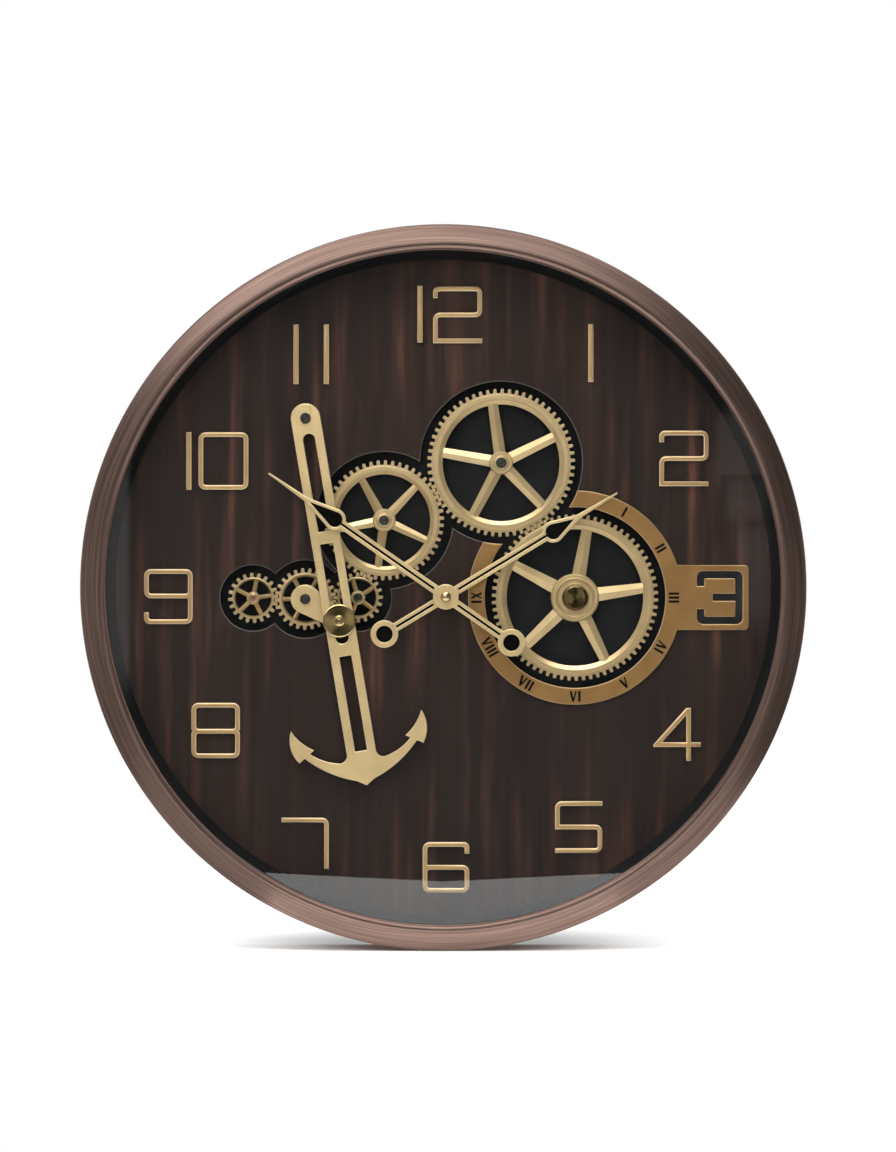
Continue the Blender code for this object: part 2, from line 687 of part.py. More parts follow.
def make_case(module_centres):
    ring = turned("case_ring", case_profile(), "antique copper", sides=RIM_SIDES)
    pane = PANE_RADIUS
    rod("glass_pane", pane, GLASS_BACK, GLASS_FRONT, "clear glass", sides=RIM_SIDES)
    low, high = DIAL_FRONT + SEAT, GLASS_BACK - SEAT
    profile = [(SPACER_INNER_RADIUS, low), (SPACER_INNER_RADIUS, high), (pane, high), (pane, low)]
    turned("spacer_ring", profile, "black plastic", sides=RIM_SIDES)

    flange = CASE_RADIUS - COVER_EDGE_INSET
    rim_top = DIAL_BACK - SEAT
    side = MODULE_SIZE + 2 * MODULE_WINDOW_MARGIN
    outlines = [circle((0, 0), flange, RIM_SIDES)]
    outlines += [moved(box_outline(side, side), centre) for centre in module_centres]
    outlines.append(moved(keyhole_outline(KEYHOLE_MARGIN), (0, HANGER_HEIGHT)))
    screws = [case_screw_place(degrees) for degrees in CASE_SCREW_BEARINGS]
    outlines += [hole(centre, CASE_SCREW_SHANK + RUN) for centre in screws]
    cover = plate("back_cover", outlines, 0, COVER_THICKNESS, "grey board")
    low = COVER_THICKNESS / 2
    profile = [(pane - COVER_RIM, low), (pane - COVER_RIM, rim_top), (pane, rim_top), (pane, low)]
    join(cover, turned("cover_rim", profile, sides=RIM_SIDES))

    head_front = CASE_SCREW_SUNK + CASE_SCREW_HEAD_HEIGHT
    tip = head_front + CASE_SCREW_LENGTH
    for number, centre in enumerate(screws, 1):
        profile = [
            (0, tip),
            (CASE_SCREW_SHANK, tip),
            (CASE_SCREW_SHANK, head_front),
            (CASE_SCREW_HEAD, head_front),
            (CASE_SCREW_HEAD, CASE_SCREW_SUNK),
            (0, CASE_SCREW_SUNK),
        ]
        turned(f"case_screw_{number}", profile, "dark steel", centre, SCREW_SIDES)
        cut(ring, bore(f"case_screw_bore_{number}", CASE_SCREW_SHANK + RUN, -OVERCUT, tip + SEAT, centre))
        sink_front = head_front + SEAT
        cut(cover, bore(f"case_screw_sink_{number}", CASE_SCREW_HEAD + RUN, -OVERCUT, sink_front, centre))
    return cover


def keyhole_outline(margin):
    """A round hole with a narrower slot above it, grown by margin."""
    wide, narrow = KEYHOLE_RADIUS + margin, KEYHOLE_SLOT_RADIUS + margin
    meets = math.degrees(math.acos(narrow / wide))
    lower = arc((0, 0), wide, 180 - meets, 360 + meets, 10)
    return lower + arc((0, KEYHOLE_TRAVEL), narrow, 0, 180, 4)


def make_hanger(cover):
    centre = (0.0, HANGER_HEIGHT)
    back = COVER_THICKNESS + SEAT
    front = back + HANGER_THICKNESS
    outlines = [box_outline(HANGER_WIDTH, HANGER_TALL, MODULE_CORNER), keyhole_outline(0.0)]
    for side in (-1, 1):
        offset = (side * STAKE_SPACING / 2, 0.0)
        outlines.append(hole(offset, STAKE_RADIUS + RUN))
        head = front + SEAT
        profile = [
            (0, head + STAKE_HEAD_HEIGHT),
            (STAKE_HEAD_RADIUS, head + STAKE_HEAD_HEIGHT),
            (STAKE_HEAD_RADIUS, head),
            (STAKE_RADIUS, head),
            (STAKE_RADIUS, COVER_THICKNESS / 2),
            (0, COVER_THICKNESS / 2),
        ]
        stake = turned(f"stake_{side}", profile, None, moved([offset], centre)[0], SCREW_SIDES)
        join(cover, stake)
    plate("hanger_plate", outlines, back, front, "steel", centre)


# Gear train


def gear_radius(teeth, module=MODULE):
    return teeth * module / 2


def window_radius(name):
    """The radius of the dial's window round a gear."""
    return gear_radius(TEETH[name]) + ADDENDUM * MODULE + WINDOW_MARGIN[name]


def train_layout():
    """Each gear's centre and the bearing of one of its teeth, so that every pair is in mesh."""
    layout = {"upper_gear": (UPPER_GEAR_CENTRE, UPPER_GEAR_PHASE)}
    for name, (neighbour, way) in MESHES.items():
        teeth, their_teeth = TEETH[name], TEETH[neighbour]
        their_centre, their_phase = layout[neighbour]
        apart = gear_radius(teeth) + gear_radius(their_teeth)
        phase = meshing_phase(their_teeth, their_phase, way, teeth)
        layout[name] = (polar(apart, way, their_centre), phase)
    return layout


def meshing_phase(their_teeth, their_phase, way, teeth):
    """The bearing of a tooth that puts a gap of this gear where the neighbour's tooth comes."""
    share = (way - their_phase) / (360 / their_teeth) % 1
    return way + 180 - (0.5 - share) * 360 / teeth


def toothed_outline(teeth, phase, module=MODULE):
    root = gear_radius(teeth, module) - DEDENDUM * module
    tip = gear_radius(teeth, module) + ADDENDUM * module
    tooth = ((root, -ROOT_WIDTH), (tip, -TIP_WIDTH), (tip, TIP_WIDTH), (root, ROOT_WIDTH))
    outline = []
    for number in range(teeth):
        middle = phase + 360 * number / teeth
        for radius, width in tooth:
            outline.append(polar(radius, middle + math.degrees(width * module / 2 / radius)))
    return outline


def spoke_windows(rim, hub, spokes, first, rim_width, hub_width):
    """The openings between tapered spokes."""
    windows = []
    at_rim = math.degrees(math.asin(rim_width / 2 / rim))
    at_hub = math.degrees(math.asin(hub_width / 2 / hub))
    for number in range(spokes):
        start = first + 360 * number / spokes
        end = start + 360 / spokes
        steps = max(2, round(math.radians(end - start) * rim / SPOKE_CHORD))
        outside = arc((0, 0), rim, start + at_rim, end - at_rim, steps)
        inside = arc((0, 0), hub, end - at_hub, start + at_hub, 2)
        windows.append(outside + inside)
    return windows


def make_gear(name, centre, phase, shaft):
    band, hub, rim_width, hub_width = WHEELS[name]
    rim = gear_radius(TEETH[name]) - DEDENDUM * MODULE - band
    outlines = [toothed_outline(TEETH[name], phase)]
    outlines += spoke_windows(rim, hub, *SPOKES[name], rim_width, hub_width)
    gear = plate(name, outlines, GEAR_BACK, GEAR_FRONT, "pale brass", centre)
    top = GEAR_FRONT + HUB_RISE
    bottom = GEAR_FRONT - HUB_SINK
    boss = hub - HUB_STEP
    if name == "right_gear":
        step = top + HUB_RISE
        profile = [
            (0, step),
            (RIGHT_HUB_STEP_RADIUS, step),
            (RIGHT_HUB_STEP_RADIUS, top),
            (boss, top),
            (boss, bottom),
            (0, bottom),
        ]
        top = step
    elif name == "small_centre_gear":
        top = CRANK_BACK - SEAT
        profile = [(0, top), (boss, top), (boss, bottom), (0, bottom)]
    else:
        profile = [(0, top), (boss, top), (boss, bottom), (0, bottom)]
    join(gear, turned(f"{name}_boss", profile, None, centre))
    cut(gear, bore(f"{name}_bore", shaft + RUN, GEAR_BACK - OVERCUT, top + OVERCUT, centre))
    return top


def shoulder_screw(name, centre, back, seat, shank, head, height, finish, domed=False):
    """A screw that is an axle: a smooth shank from back to seat and a head in front of it."""
    front = seat + height
    crown = [(0, front), (head - HEAD_CHAMFER, front), (head, front - HEAD_CHAMFER)]
    if domed:
        crown = quarter((0, seat + DOME_EDGE), head, height - DOME_EDGE, 4)[::-1]
    profile = crown + [(head, seat), (shank, seat), (shank, back), (0, back)]
    return turned(name, profile, finish, centre, WHEEL_SIDES if domed else SCREW_SIDES)


def make_train(layout):
    """The gears, each on its axle, and the one that the motor's shaft carries."""
    for name, (centre, phase) in layout.items():
        axle, shank, back = f"{name}_axle", AXLE_RADIUS, POST_FRONT - AXLE_DEPTH
        height, finish = AXLE_HEAD_HEIGHT, "dark steel"
        if name == "small_left_gear":
            axle, shank, back = "motor_shaft", MOTOR_SHAFT_RADIUS, MODULE_FRONT - MOTOR_SHAFT_DEPTH
            finish = "copper screw"
        seat = make_gear(name, centre, phase, shank) + SEAT
        domed = name == "right_gear"
        if domed:
            height = DOME_HEIGHT
        if name == "small_centre_gear":
            seat = CRANK_FRONT + SEAT
        shoulder_screw(axle, centre, back, seat, shank, AXLE_HEAD[axle], height, finish, domed)


def make_tray(layout):
    """The black tray behind the gears, with their posts, the movement's column and the motor's clips."""
    inner = [(layout[name][0], window_radius(name) + TRAY_MARGIN) for name in TEETH]
    outer = [(centre, radius + TRAY_WALL) for centre, radius in inner]
    outer.append((HAND_CENTRE, HUB_COLUMN_RADIUS))
    lugs = []
    for name, degrees in LUG_BEARINGS.items():
        centre, _ = layout[name]
        reach = window_radius(name) + TRAY_MARGIN + TRAY_WALL + LUG_RADIUS / 2
        lugs.append(polar(reach, degrees, centre))
    outer += [(lug, LUG_RADIUS) for lug in lugs]
    front = DIAL_BACK - SEAT
    through = front + OVERCUT
    tray = plate("gear_tray", [outline_of_union(outer, TRAY_CHORD)], TRAY_BACK, front, "black plastic")
    cut(tray, plate("tray_hollow", [outline_of_union(inner, TRAY_CHORD)], TRAY_FLOOR_FRONT, through))

    motor = layout["small_left_gear"][0]
    drilled = (AXLE_RADIUS + RUN) / math.cos(math.pi / SCREW_SIDES)
    bottom = POST_FRONT - AXLE_DEPTH - SEAT
    profile = [(0, bottom), (drilled, bottom), (drilled, POST_FRONT), (POST_RADIUS, POST_FRONT)]
    profile += [(POST_RADIUS, TRAY_BACK + TRAY_FLOOR / 2), (0, TRAY_BACK + TRAY_FLOOR / 2)]
    for name in TEETH:
        if name != "small_left_gear":
            join(tray, turned(f"{name}_post", profile, None, layout[name][0], SCREW_SIDES))
    inside = MODULE_SIZE / 2 + SEAT
    pad_back = TRAY_BACK + CLIP_PAD_LIFT
    pad_length = 2 * (inside + CLIP_THICKNESS + CLIP_PAD_MARGIN)
    join(tray, block("clip_pad", (pad_length, CLIP_WIDTH, CLIP_PAD_THICKNESS), pad_back, None, motor))
    hook_back = MODULE_BACK - SEAT - CLIP_HOOK_HEIGHT
    leg_back = hook_back + CLIP_STEP
    leg_size = (CLIP_THICKNESS, CLIP_WIDTH - 2 * CLIP_STEP, pad_back + CLIP_PAD_THICKNESS / 2 - leg_back)
    hook_size = (CLIP_HOOK + CLIP_THICKNESS / 2, CLIP_WIDTH - 4 * CLIP_STEP, CLIP_HOOK_HEIGHT)
    for side in (-1, 1):
        leg_at = (motor[0] + side * (inside + CLIP_THICKNESS / 2), motor[1])
        hook_at = (motor[0] + side * (inside + (CLIP_THICKNESS / 2 - CLIP_HOOK) / 2), motor[1])
        join(tray, block(f"clip_leg_{side}", leg_size, leg_back, None, leg_at))
        join(tray, block(f"clip_hook_{side}", hook_size, hook_back, None, hook_at))

    back = TRAY_BACK - OVERCUT
    cut(tray, bore("motor_shaft_passage", MOTOR_SHAFT_RADIUS + 2 * RUN, back, through, motor))
    cut(tray, bore("bush_passage", BUSH_RADIUS + RUN, back, through, HAND_CENTRE, WHEEL_SIDES))
    return tray, lugs


def make_tray_screws(tray, dial, lugs):
    seat = TRAY_BACK - SEAT
    back = seat - TRAY_SCREW_HEAD_HEIGHT
    tip = DIAL_BACK + TRAY_SCREW_BITE
    for number, lug in enumerate(lugs, 1):
        profile = [
            (0, tip),
            (TRAY_SCREW_SHANK, tip),
            (TRAY_SCREW_SHANK, seat),
            (TRAY_SCREW_HEAD, seat),
            (TRAY_SCREW_HEAD, back),
            (0, back),
        ]
        turned(f"tray_screw_{number}", profile, "dark steel", lug, SCREW_SIDES)
        drill = bore(f"tray_screw_bore_{number}", TRAY_SCREW_SHANK + RUN, back, tip + SEAT, lug)
        cut(tray, drill)
        cut(dial, drill)


# Dial


def make_dial(layout):
    windows = [(layout[name][0], window_radius(name)) for name in TEETH]
    outlines = [
        circle((0, 0), PANE_RADIUS, RIM_SIDES),
        outline_of_union(windows, WINDOW_CHORD),
        hole(HAND_CENTRE, BUSH_RADIUS + RUN, WHEEL_SIDES),
        hole(ANCHOR_PIVOT, ANCHOR_THREAD + RUN),
    ]
    return plate("dial_panel", outlines, DIAL_BACK, DIAL_FRONT, "dark wood")


def three_outline():
    """The 3 that is cut out of the tab."""
    w, h, s = THREE_WIDTH, THREE_HEIGHT, THREE_STROKE
    inner = THREE_CORNER / 3
    bar_low, bar_high = THREE_BAR_RISE - s / 2, THREE_BAR_RISE + s / 2
    corners = [
        (0, 0, inner),
        (w, 0, THREE_CORNER),
        (w, h, THREE_CORNER),
        (0, h, inner),
        (0, h - THREE_HOOK, 0),
        (s, h - THREE_HOOK, 0),
        (s, h - s, 0),
        (w - s, h - s, inner),
        (w - s, bar_high, 0),
        (THREE_BAR_START, bar_high, 0),
        (THREE_BAR_START, bar_low, 0),
        (w - s, bar_low, 0),
        (w - s, s, inner),
        (s, s, 0),
        (s, THREE_HOOK, 0),
        (0, THREE_HOOK, 0),
    ]
    return moved(rounded(corners), (THREE_OFFSET - w / 2, -h / 2))


def make_subdial(layout):
    """The C-shaped plate round the right gear, cut back round the upper window, with its tab."""
    centre = layout["right_gear"][0]
    upper = layout["upper_gear"][0]
    window = window_radius("upper_gear")
    inner = window_radius("right_gear")
    outer = inner + SUBDIAL_WIDTH
    way, outer_spread = crossing(centre, outer, upper, window)
    _, inner_spread = crossing(centre, inner, upper, window)
    local = (upper[0] - centre[0], upper[1] - centre[1])
    half = TAB_HEIGHT / 2
    tab = math.degrees(math.asin(half / outer))
    origin = (0.0, 0.0)

    def trim(start, end):
        """The concave end, along the upper window's edge."""
        first, last = bearing(local, start), bearing(local, end)
        sweep = (last - first + 180) % 360 - 180
        return arc(local, window, first, first + sweep, 3)[1:-1]

    outside = arc(origin, outer, way + outer_spread - 360, -tab, 24)
    corners = [(0, -half, 0), (TAB_REACH, -half, TAB_CORNER), (TAB_REACH, half, TAB_CORNER), (0, half, 0)]
    outside += rounded(corners)[1:-1]
    outside += arc(origin, outer, tab, way - outer_spread, 9)
    inside = arc(origin, inner, way - inner_spread, way + inner_spread - 360, 30)
    outline = outside + trim(outside[-1], inside[0]) + inside + trim(inside[-1], outside[0])
    back = DIAL_FRONT + SEAT
    plate("subdial_ring", [outline, three_outline()], back, back + SUBDIAL_THICKNESS, "bronze", centre)


def numeral_outlines(name, w, h, middle):
    """The edge of a numeral in a box of width w and height h, then its holes."""
    s, r = STROKE, STROKE_CORNER
    left, right, low, high = s / 2, w - s / 2, s / 2, h - s / 2
    outer, inner = r + s / 2, max(r - s / 2, LEAST_CORNER)
    two = [(left, h - HOOK, 0), (left, high, r), (right, high, r), (right, middle, r), (left, middle, r)]
    two += [(left, low, 0), (w, low, 0)]
    five = [(w, high, 0), (left, high, r), (left, middle, 0)]
    five += [(right, middle, r), (right, low, r), (0, low, 0)]
    strokes = {
        "numeral_2": two,
        "numeral_12_two": two,
        "numeral_5": five,
        "numeral_7": [(0, high, 0), (right, high, r), (right, 0, 0)],
    }
    if name in strokes:
        return [ribbon(strokes[name], s)]

    def ring(x0, y0, x1, y1, corner):
        return rounded([(x0, y0, corner), (x1, y0, corner), (x1, y1, corner), (x0, y1, corner)])

    if name == "numeral_10_zero":
        return [ring(0, 0, w, h, outer), ring(s, s, w - s, h - s, inner)]
    if name in ("numeral_6", "numeral_9"):
        edge = [
            (0, 0, outer),
            (w, 0, outer),
            (w, middle + s / 2, outer),
            (s, middle + s / 2, 0),
            (s, h - s, inner),
            (w - s, h - s, inner),
            (w - s, h - HOOK, 0),
            (w, h - HOOK, 0),
            (w, h, outer),
            (0, h, outer),
        ]
        outlines = [rounded(edge), ring(s, s, w - s, middle - s / 2, inner)]
        if name == "numeral_6":
            return outlines
        return [[(w - x, h - y) for x, y in outline] for outline in outlines]
    if name == "numeral_8":
        below, above = middle - WAIST, middle + WAIST
        edge = [(0, 0, outer), (w, 0, outer), (w, below, 0), (w - WAIST, middle, 0), (w, above, 0)]
        edge += [(w, h, outer), (0, h, outer), (0, above, 0), (WAIST, middle, 0), (0, below, 0)]
        lower = ring(s, s, w - s, middle - s / 2, inner)
        return [rounded(edge), lower, ring(s, middle + s / 2, w - s, h - s, inner)]
    if name == "numeral_4":
        return four_outlines(w, h, middle)
    return [ring(0, 0, w, h, 0)]


def four_outlines(w, h, bar):
    """The 4: a stem, a bar across it and a slanting stroke from the stem's top to the bar's left end."""
    s = STROKE
    stem = w - FOUR_STEM_INSET - s
    slope = Vector((stem, h - bar)).normalized()
    low, high = bar - s / 2, bar + s / 2
    edge = [
        (0, low),
        (stem, low),
        (stem, 0),
        (stem + s, 0),
        (stem + s, low),
        (w, low),
        (w, high),
        (stem + s, high),
        (stem + s, h),
        (stem, h),
        (0, h - stem * slope.y / slope.x),
    ]
    tall = h - s / slope.x
    reach = stem - (tall - high) * slope.x / slope.y
    return [edge, [(reach, high), (stem, high), (stem, tall)]]


def make_numerals():
    back = DIAL_FRONT + SEAT
    for name, (way, inset, width, height, middle) in NUMERALS.items():
        centre = polar(SPACER_INNER_RADIUS - inset * MM, 90 - way)
        w = width * MM if width else STROKE
        h = height * MM
        middle = middle * MM if middle else h / 2
        outlines = [moved(outline, (-w / 2, -h / 2)) for outline in numeral_outlines(name, w, h, middle)]
        plate(name, outlines, back, back + NUMERAL_THICKNESS, "gold", centre)


# Crank and anchor


def crank_pin(layout):
    return polar(CRANK_RADIUS, CRANK_BEARING, layout["small_centre_gear"][0])


def make_crank(layout):
    """The teardrop plate on the small centre gear, with the stub that drives the disc."""
    centre = layout["small_centre_gear"][0]
    lean = math.degrees(math.acos((CRANK_HEAD_RADIUS - CRANK_END_RADIUS) / CRANK_RADIUS))
    right, left = CRANK_BEARING - lean, CRANK_BEARING + lean
    head = arc((0, 0), CRANK_HEAD_RADIUS, left, right + 360, 14)
    tail = arc(polar(CRANK_RADIUS, CRANK_BEARING), CRANK_END_RADIUS, right, left, 6)
    outlines = [head + tail, hole((0, 0), AXLE_RADIUS + RUN)]
    crank = plate("crank_plate", outlines, CRANK_BACK, CRANK_FRONT, "pale brass", centre)
    back, front = CRANK_FRONT - CRANK_THICKNESS / 2, ANCHOR_BACK - 2 * SEAT
    join(crank, rod("crank_stub", CRANK_STUB_RADIUS, back, front, None, crank_pin(layout)))


def anchor_outline():
    """The arm and its flukes, with the pivot at the origin and the arm hanging down -y."""
    def down(point):
        return point[0] * MM, -point[1] * MM

    half = [(0, -FLUKE_TIP * MM)]
    half += bowed(down(FLUKE_KEEL), down(FLUKE_OUTER_NECK), KEEL_BOW * MM, 5)
    half += bowed(down(FLUKE_OUTER_BARB), down(FLUKE_POINT), OUTER_BOW * MM, 4)
    half += bowed(down(FLUKE_POINT), down(FLUKE_INNER_BARB), INNER_BOW * MM, 3)[1:]
    half += bowed(down(FLUKE_INNER_NECK), down(FLUKE_THROAT), THROAT_BOW * MM, 4)
    half.append((ANCHOR_HALF_WIDTH, -FLUKE_FILLET_DROP * MM))
    half += arc((0, 0), ANCHOR_HALF_WIDTH, 0, 90, 5)
    return mirrored(half)


def make_anchor(layout):
    """The slotted arm, its pivot screw, and the disc and screw that ride in its middle slot."""
    pin = crank_pin(layout)
    gear = layout["small_centre_gear"][0]
    hang = bearing(ANCHOR_PIVOT, pin) + 90
    apart = distance(ANCHOR_PIVOT, gear)
    end = CRANK_SLOT_WIDTH / 2
    slot_low = apart + CRANK_RADIUS + RUN
    slot_high = apart - CRANK_RADIUS - RUN - CRANK_SLOT_SPARE
    side = SIDE_SLOT_WIDTH / 2

    upper_end = end + ARM_BRIDGE - slot_high
    lower_start = -slot_low - end - ARM_BRIDGE
    upper = [(-side, upper_end), (side, upper_end)]
    upper += arc((0, -UPPER_SLOT_START - side), side, 0, 180, SLOT_STEPS)
    lower = [(-side, -LOWER_SLOT_END), (side, -LOWER_SLOT_END), (side, lower_start), (-side, lower_start)]
    outlines = [
        anchor_outline(),
        upper,
        slot_outline(end, -slot_low, -slot_high),
        lower,
        hole((0, 0), ANCHOR_SHOULDER + RUN),
    ]
    arm = plate("anchor_arm", outlines, ANCHOR_BACK, ANCHOR_FRONT, "pale brass", ANCHOR_PIVOT)
    arm.rotation_euler.z = math.radians(hang)

    stand_off = DIAL_FRONT + SEAT
    head = ANCHOR_FRONT + SEAT
    neck = ANCHOR_BACK - SEAT
    thread = DIAL_BACK + SEAT
    profile = [
        (0, head + ANCHOR_SCREW_HEAD_HEIGHT),
        (ANCHOR_SCREW_HEAD, head + ANCHOR_SCREW_HEAD_HEIGHT),
        (ANCHOR_SCREW_HEAD, head),
        (ANCHOR_SHOULDER, head),
        (ANCHOR_SHOULDER, neck),
        (ANCHOR_NECK, neck),
        (ANCHOR_NECK, stand_off + ANCHOR_FLANGE_HEIGHT),
        (ANCHOR_FLANGE, stand_off + ANCHOR_FLANGE_HEIGHT),
        (ANCHOR_FLANGE, stand_off),
        (ANCHOR_THREAD, stand_off),
        (ANCHOR_THREAD, thread),
        (0, thread),
    ]
    turned("anchor_pivot_screw", profile, "dark steel", ANCHOR_PIVOT, SCREW_SIDES)

    spigot_back = ANCHOR_BACK - SEAT
    drilled = (DISC_SCREW_SHANK + RUN) / math.cos(math.pi / WHEEL_SIDES)
    profile = [
        (drilled, spigot_back),
        (drilled, DISC_FRONT),
        (DISC_RADIUS, DISC_FRONT),
        (DISC_RADIUS, DISC_BACK),
        (SPIGOT_RADIUS, DISC_BACK),
        (SPIGOT_RADIUS, spigot_back),
    ]
    turned("crank_disc", profile, "dark steel", pin)
    back = spigot_back + SEAT
    shoulder_screw(
        "crank_screw",
        pin,
        back,
        DISC_SCREW_BACK,
        DISC_SCREW_SHANK,
        DISC_SCREW_HEAD,
        DISC_SCREW_HEAD_HEIGHT,
        "pale brass",
    )


# Hands


def hand_outlines(length, leaf, leaf_point, tail, shaft):
    """A hand that points up y: a tail ring, a hub, two rails, an open leaf and a thin tip."""
    rail, slot = HAND_HALF_WIDTH, HAND_SLOT_HALF_WIDTH
    ring_meet = math.degrees(math.acos(rail / HAND_RING_RADIUS))
    hub_meet = math.degrees(math.acos(rail / HAND_HUB_RADIUS))
    leaf_meet = math.degrees(math.acos(rail / HAND_LEAF_RADIUS))
    right = arc((0, -tail), HAND_RING_RADIUS, -90, ring_meet, 7)
    right += arc((0, 0), HAND_HUB_RADIUS, -hub_meet, hub_meet, 4)
    right += arc((0, leaf), HAND_LEAF_RADIUS, -leaf_meet, HAND_LEAF_SHOULDER, 4)
    right += [(HAND_TIP_HALF_WIDTH, leaf_point), (HAND_POINT_HALF_WIDTH, length)]
    hole_meet = math.degrees(math.acos(slot / HAND_LEAF_HOLE))
    start = HAND_HUB_RADIUS + HAND_SLOT_MARGIN
    opening = [(slot, start)]
    opening += arc((0, leaf), HAND_LEAF_HOLE, -hole_meet, HAND_LEAF_SHOULDER, 4)
    opening.append((0, leaf_point - HAND_LEAF_TOE))
    tail_end = tail - HAND_RING_RADIUS
    tail_slot = [(-slot, -tail_end), (slot, -tail_end), (slot, -start), (-slot, -start)]
    return [
        mirrored(right),
        mirrored(opening),
        tail_slot,
        circle((0, -tail), HAND_RING_HOLE, WHEEL_SIDES),
        hole((0, 0), shaft + RUN, WHEEL_SIDES),
    ]


def make_hands():
    for name, sizes, back, front, shaft in (
        ("hour_hand", HOUR_HAND, HOUR_BACK, HOUR_FRONT, PIPE_RADIUS),
        ("minute_hand", MINUTE_HAND, MINUTE_BACK, MINUTE_FRONT, ARBOR_RADIUS),
    ):
        hand = plate(name, hand_outlines(*sizes[:4], shaft), back, front, "pale brass", HAND_CENTRE)
        hand.rotation_euler.z = math.radians(sizes[4])
    inside = (ARBOR_RADIUS + RUN) / math.cos(math.pi / SCREW_SIDES)
    roof = NUT_FRONT - NUT_ROOF
    dome = quarter((0, NUT_BACK + NUT_EDGE), NUT_RADIUS, NUT_HEIGHT - NUT_EDGE, 3)[::-1]
    profile = dome + [(NUT_RADIUS, NUT_BACK), (inside, NUT_BACK), (inside, roof), (0, roof)]
    turned("hand_nut", profile, "pale brass", HAND_CENTRE, SCREW_SIDES)


# Movement and gear motor


def motion_distance():
    return gear_radius(CANNON_TEETH + MOTION_TEETH, MOTION_MODULE)


def motion_pinion_module():
    """The second pair's module, which gives it the first pair's centre distance."""
    return 2 * motion_distance() / (MOTION_PINION_TEETH + HOUR_TEETH)


def make_cell(name, centre, front):
    """An AA cell lying across its module, with its nub to the right."""
    half = CELL_LENGTH / 2
    profile = [
        (0, half + CELL_NUB_LENGTH),
        (CELL_NUB_RADIUS, half + CELL_NUB_LENGTH),
        (CELL_NUB_RADIUS, half),
        (CELL_RADIUS, half),
        (CELL_RADIUS, -half),
        (0, -half),
    ]
    cell = turned(name, profile, "cell wrap")
    cell.location = (centre[0], centre[1] - CELL_OFFSET, front - CELL_RADIUS)
    cell.rotation_euler.y = math.radians(90)


def make_movement():
    centre = HAND_CENTRE
    joint = MODULE_BACK + MODULE_COVER_THICKNESS
    inside_front = MODULE_FRONT - MODULE_WALL
    case_back = joint + SEAT
    outline = box_outline(MODULE_SIZE, MODULE_SIZE, MODULE_CORNER)
    case = plate("movement_case", [outline], case_back, MODULE_FRONT, "black plastic", centre)
    room = MODULE_SIZE - 2 * MODULE_WALL
    room_outline = box_outline(room, room, MODULE_CORNER / 2)
    cut(case, plate("movement_hollow", [room_outline], case_back - OVERCUT, inside_front, None, centre))
    root = inside_front + MODULE_WALL / 2
    bush_front = DIAL_FRONT + SEAT + MOVEMENT_NUT_HEIGHT + SEAT
    join(case, rod("movement_bush", BUSH_RADIUS, root, bush_front, None, centre, WHEEL_SIDES))

    motion = polar(motion_distance(), MOTION_BEARING, centre)
    knob = polar(gear_radius(MOTION_TEETH + KNOB_TEETH, MOTION_MODULE), KNOB_BEARING, motion)
    wheel_back = joint + MOTION_WHEEL_LIFT
    wheel_front = wheel_back + MOTION_WHEEL_FACE
    hour_front = inside_front - HOUR_WHEEL_DROP
    hour_back = hour_front - HOUR_WHEEL_FACE
    join(case, rod("motion_pin", MOTION_PIN_RADIUS, wheel_back - SEAT, root, None, motion))
    back, front = inside_front - OVERCUT, bush_front + OVERCUT
    cut(case, bore("bush_bore", PIPE_RADIUS + RUN, back, front, centre, WHEEL_SIDES))

    bay_outline = moved(box_outline(BAY_LENGTH, BAY_WIDTH), (0, -CELL_OFFSET))
    knob_local = (knob[0] - centre[0], knob[1] - centre[1])
    outlines = [outline, bay_outline, hole(knob_local, ARBOR_RADIUS + RUN)]
    plate("movement_cover", outlines, MODULE_BACK, joint, "black plastic", centre)
    make_cell("movement_cell", centre, inside_front - SEAT)

    nut_inside = (BUSH_RADIUS + RUN) / math.cos(math.pi / WHEEL_SIDES)
    nut_back = DIAL_FRONT + SEAT
    nut_front = nut_back + MOVEMENT_NUT_HEIGHT
    profile = [(nut_inside, nut_back), (nut_inside, nut_front), (MOVEMENT_NUT_RADIUS, nut_front)]
    profile.append((MOVEMENT_NUT_RADIUS, nut_back))
    turned("movement_nut", profile, "pale brass", centre)
    make_motion_work(centre, motion, knob, (wheel_back, wheel_front), (hour_back, hour_front), joint)

    flange = COIL_LENGTH / 2
    profile = [
        (0, flange),
        (COIL_FLANGE_RADIUS, flange),
        (COIL_FLANGE_RADIUS, flange - COIL_FLANGE),
        (COIL_RADIUS, flange - COIL_FLANGE),
        (COIL_RADIUS, COIL_FLANGE - flange),
        (COIL_FLANGE_RADIUS, COIL_FLANGE - flange),
        (COIL_FLANGE_RADIUS, -flange),
        (0, -flange),
    ]
    coil = turned("stepper_coil", profile, "enamelled wire", sides=SCREW_SIDES)
    depth = inside_front - SEAT - COIL_FLANGE_RADIUS
    coil.location = (centre[0] + COIL_OFFSET[0], centre[1] + COIL_OFFSET[1], depth)
    coil.rotation_euler.x = math.radians(90)


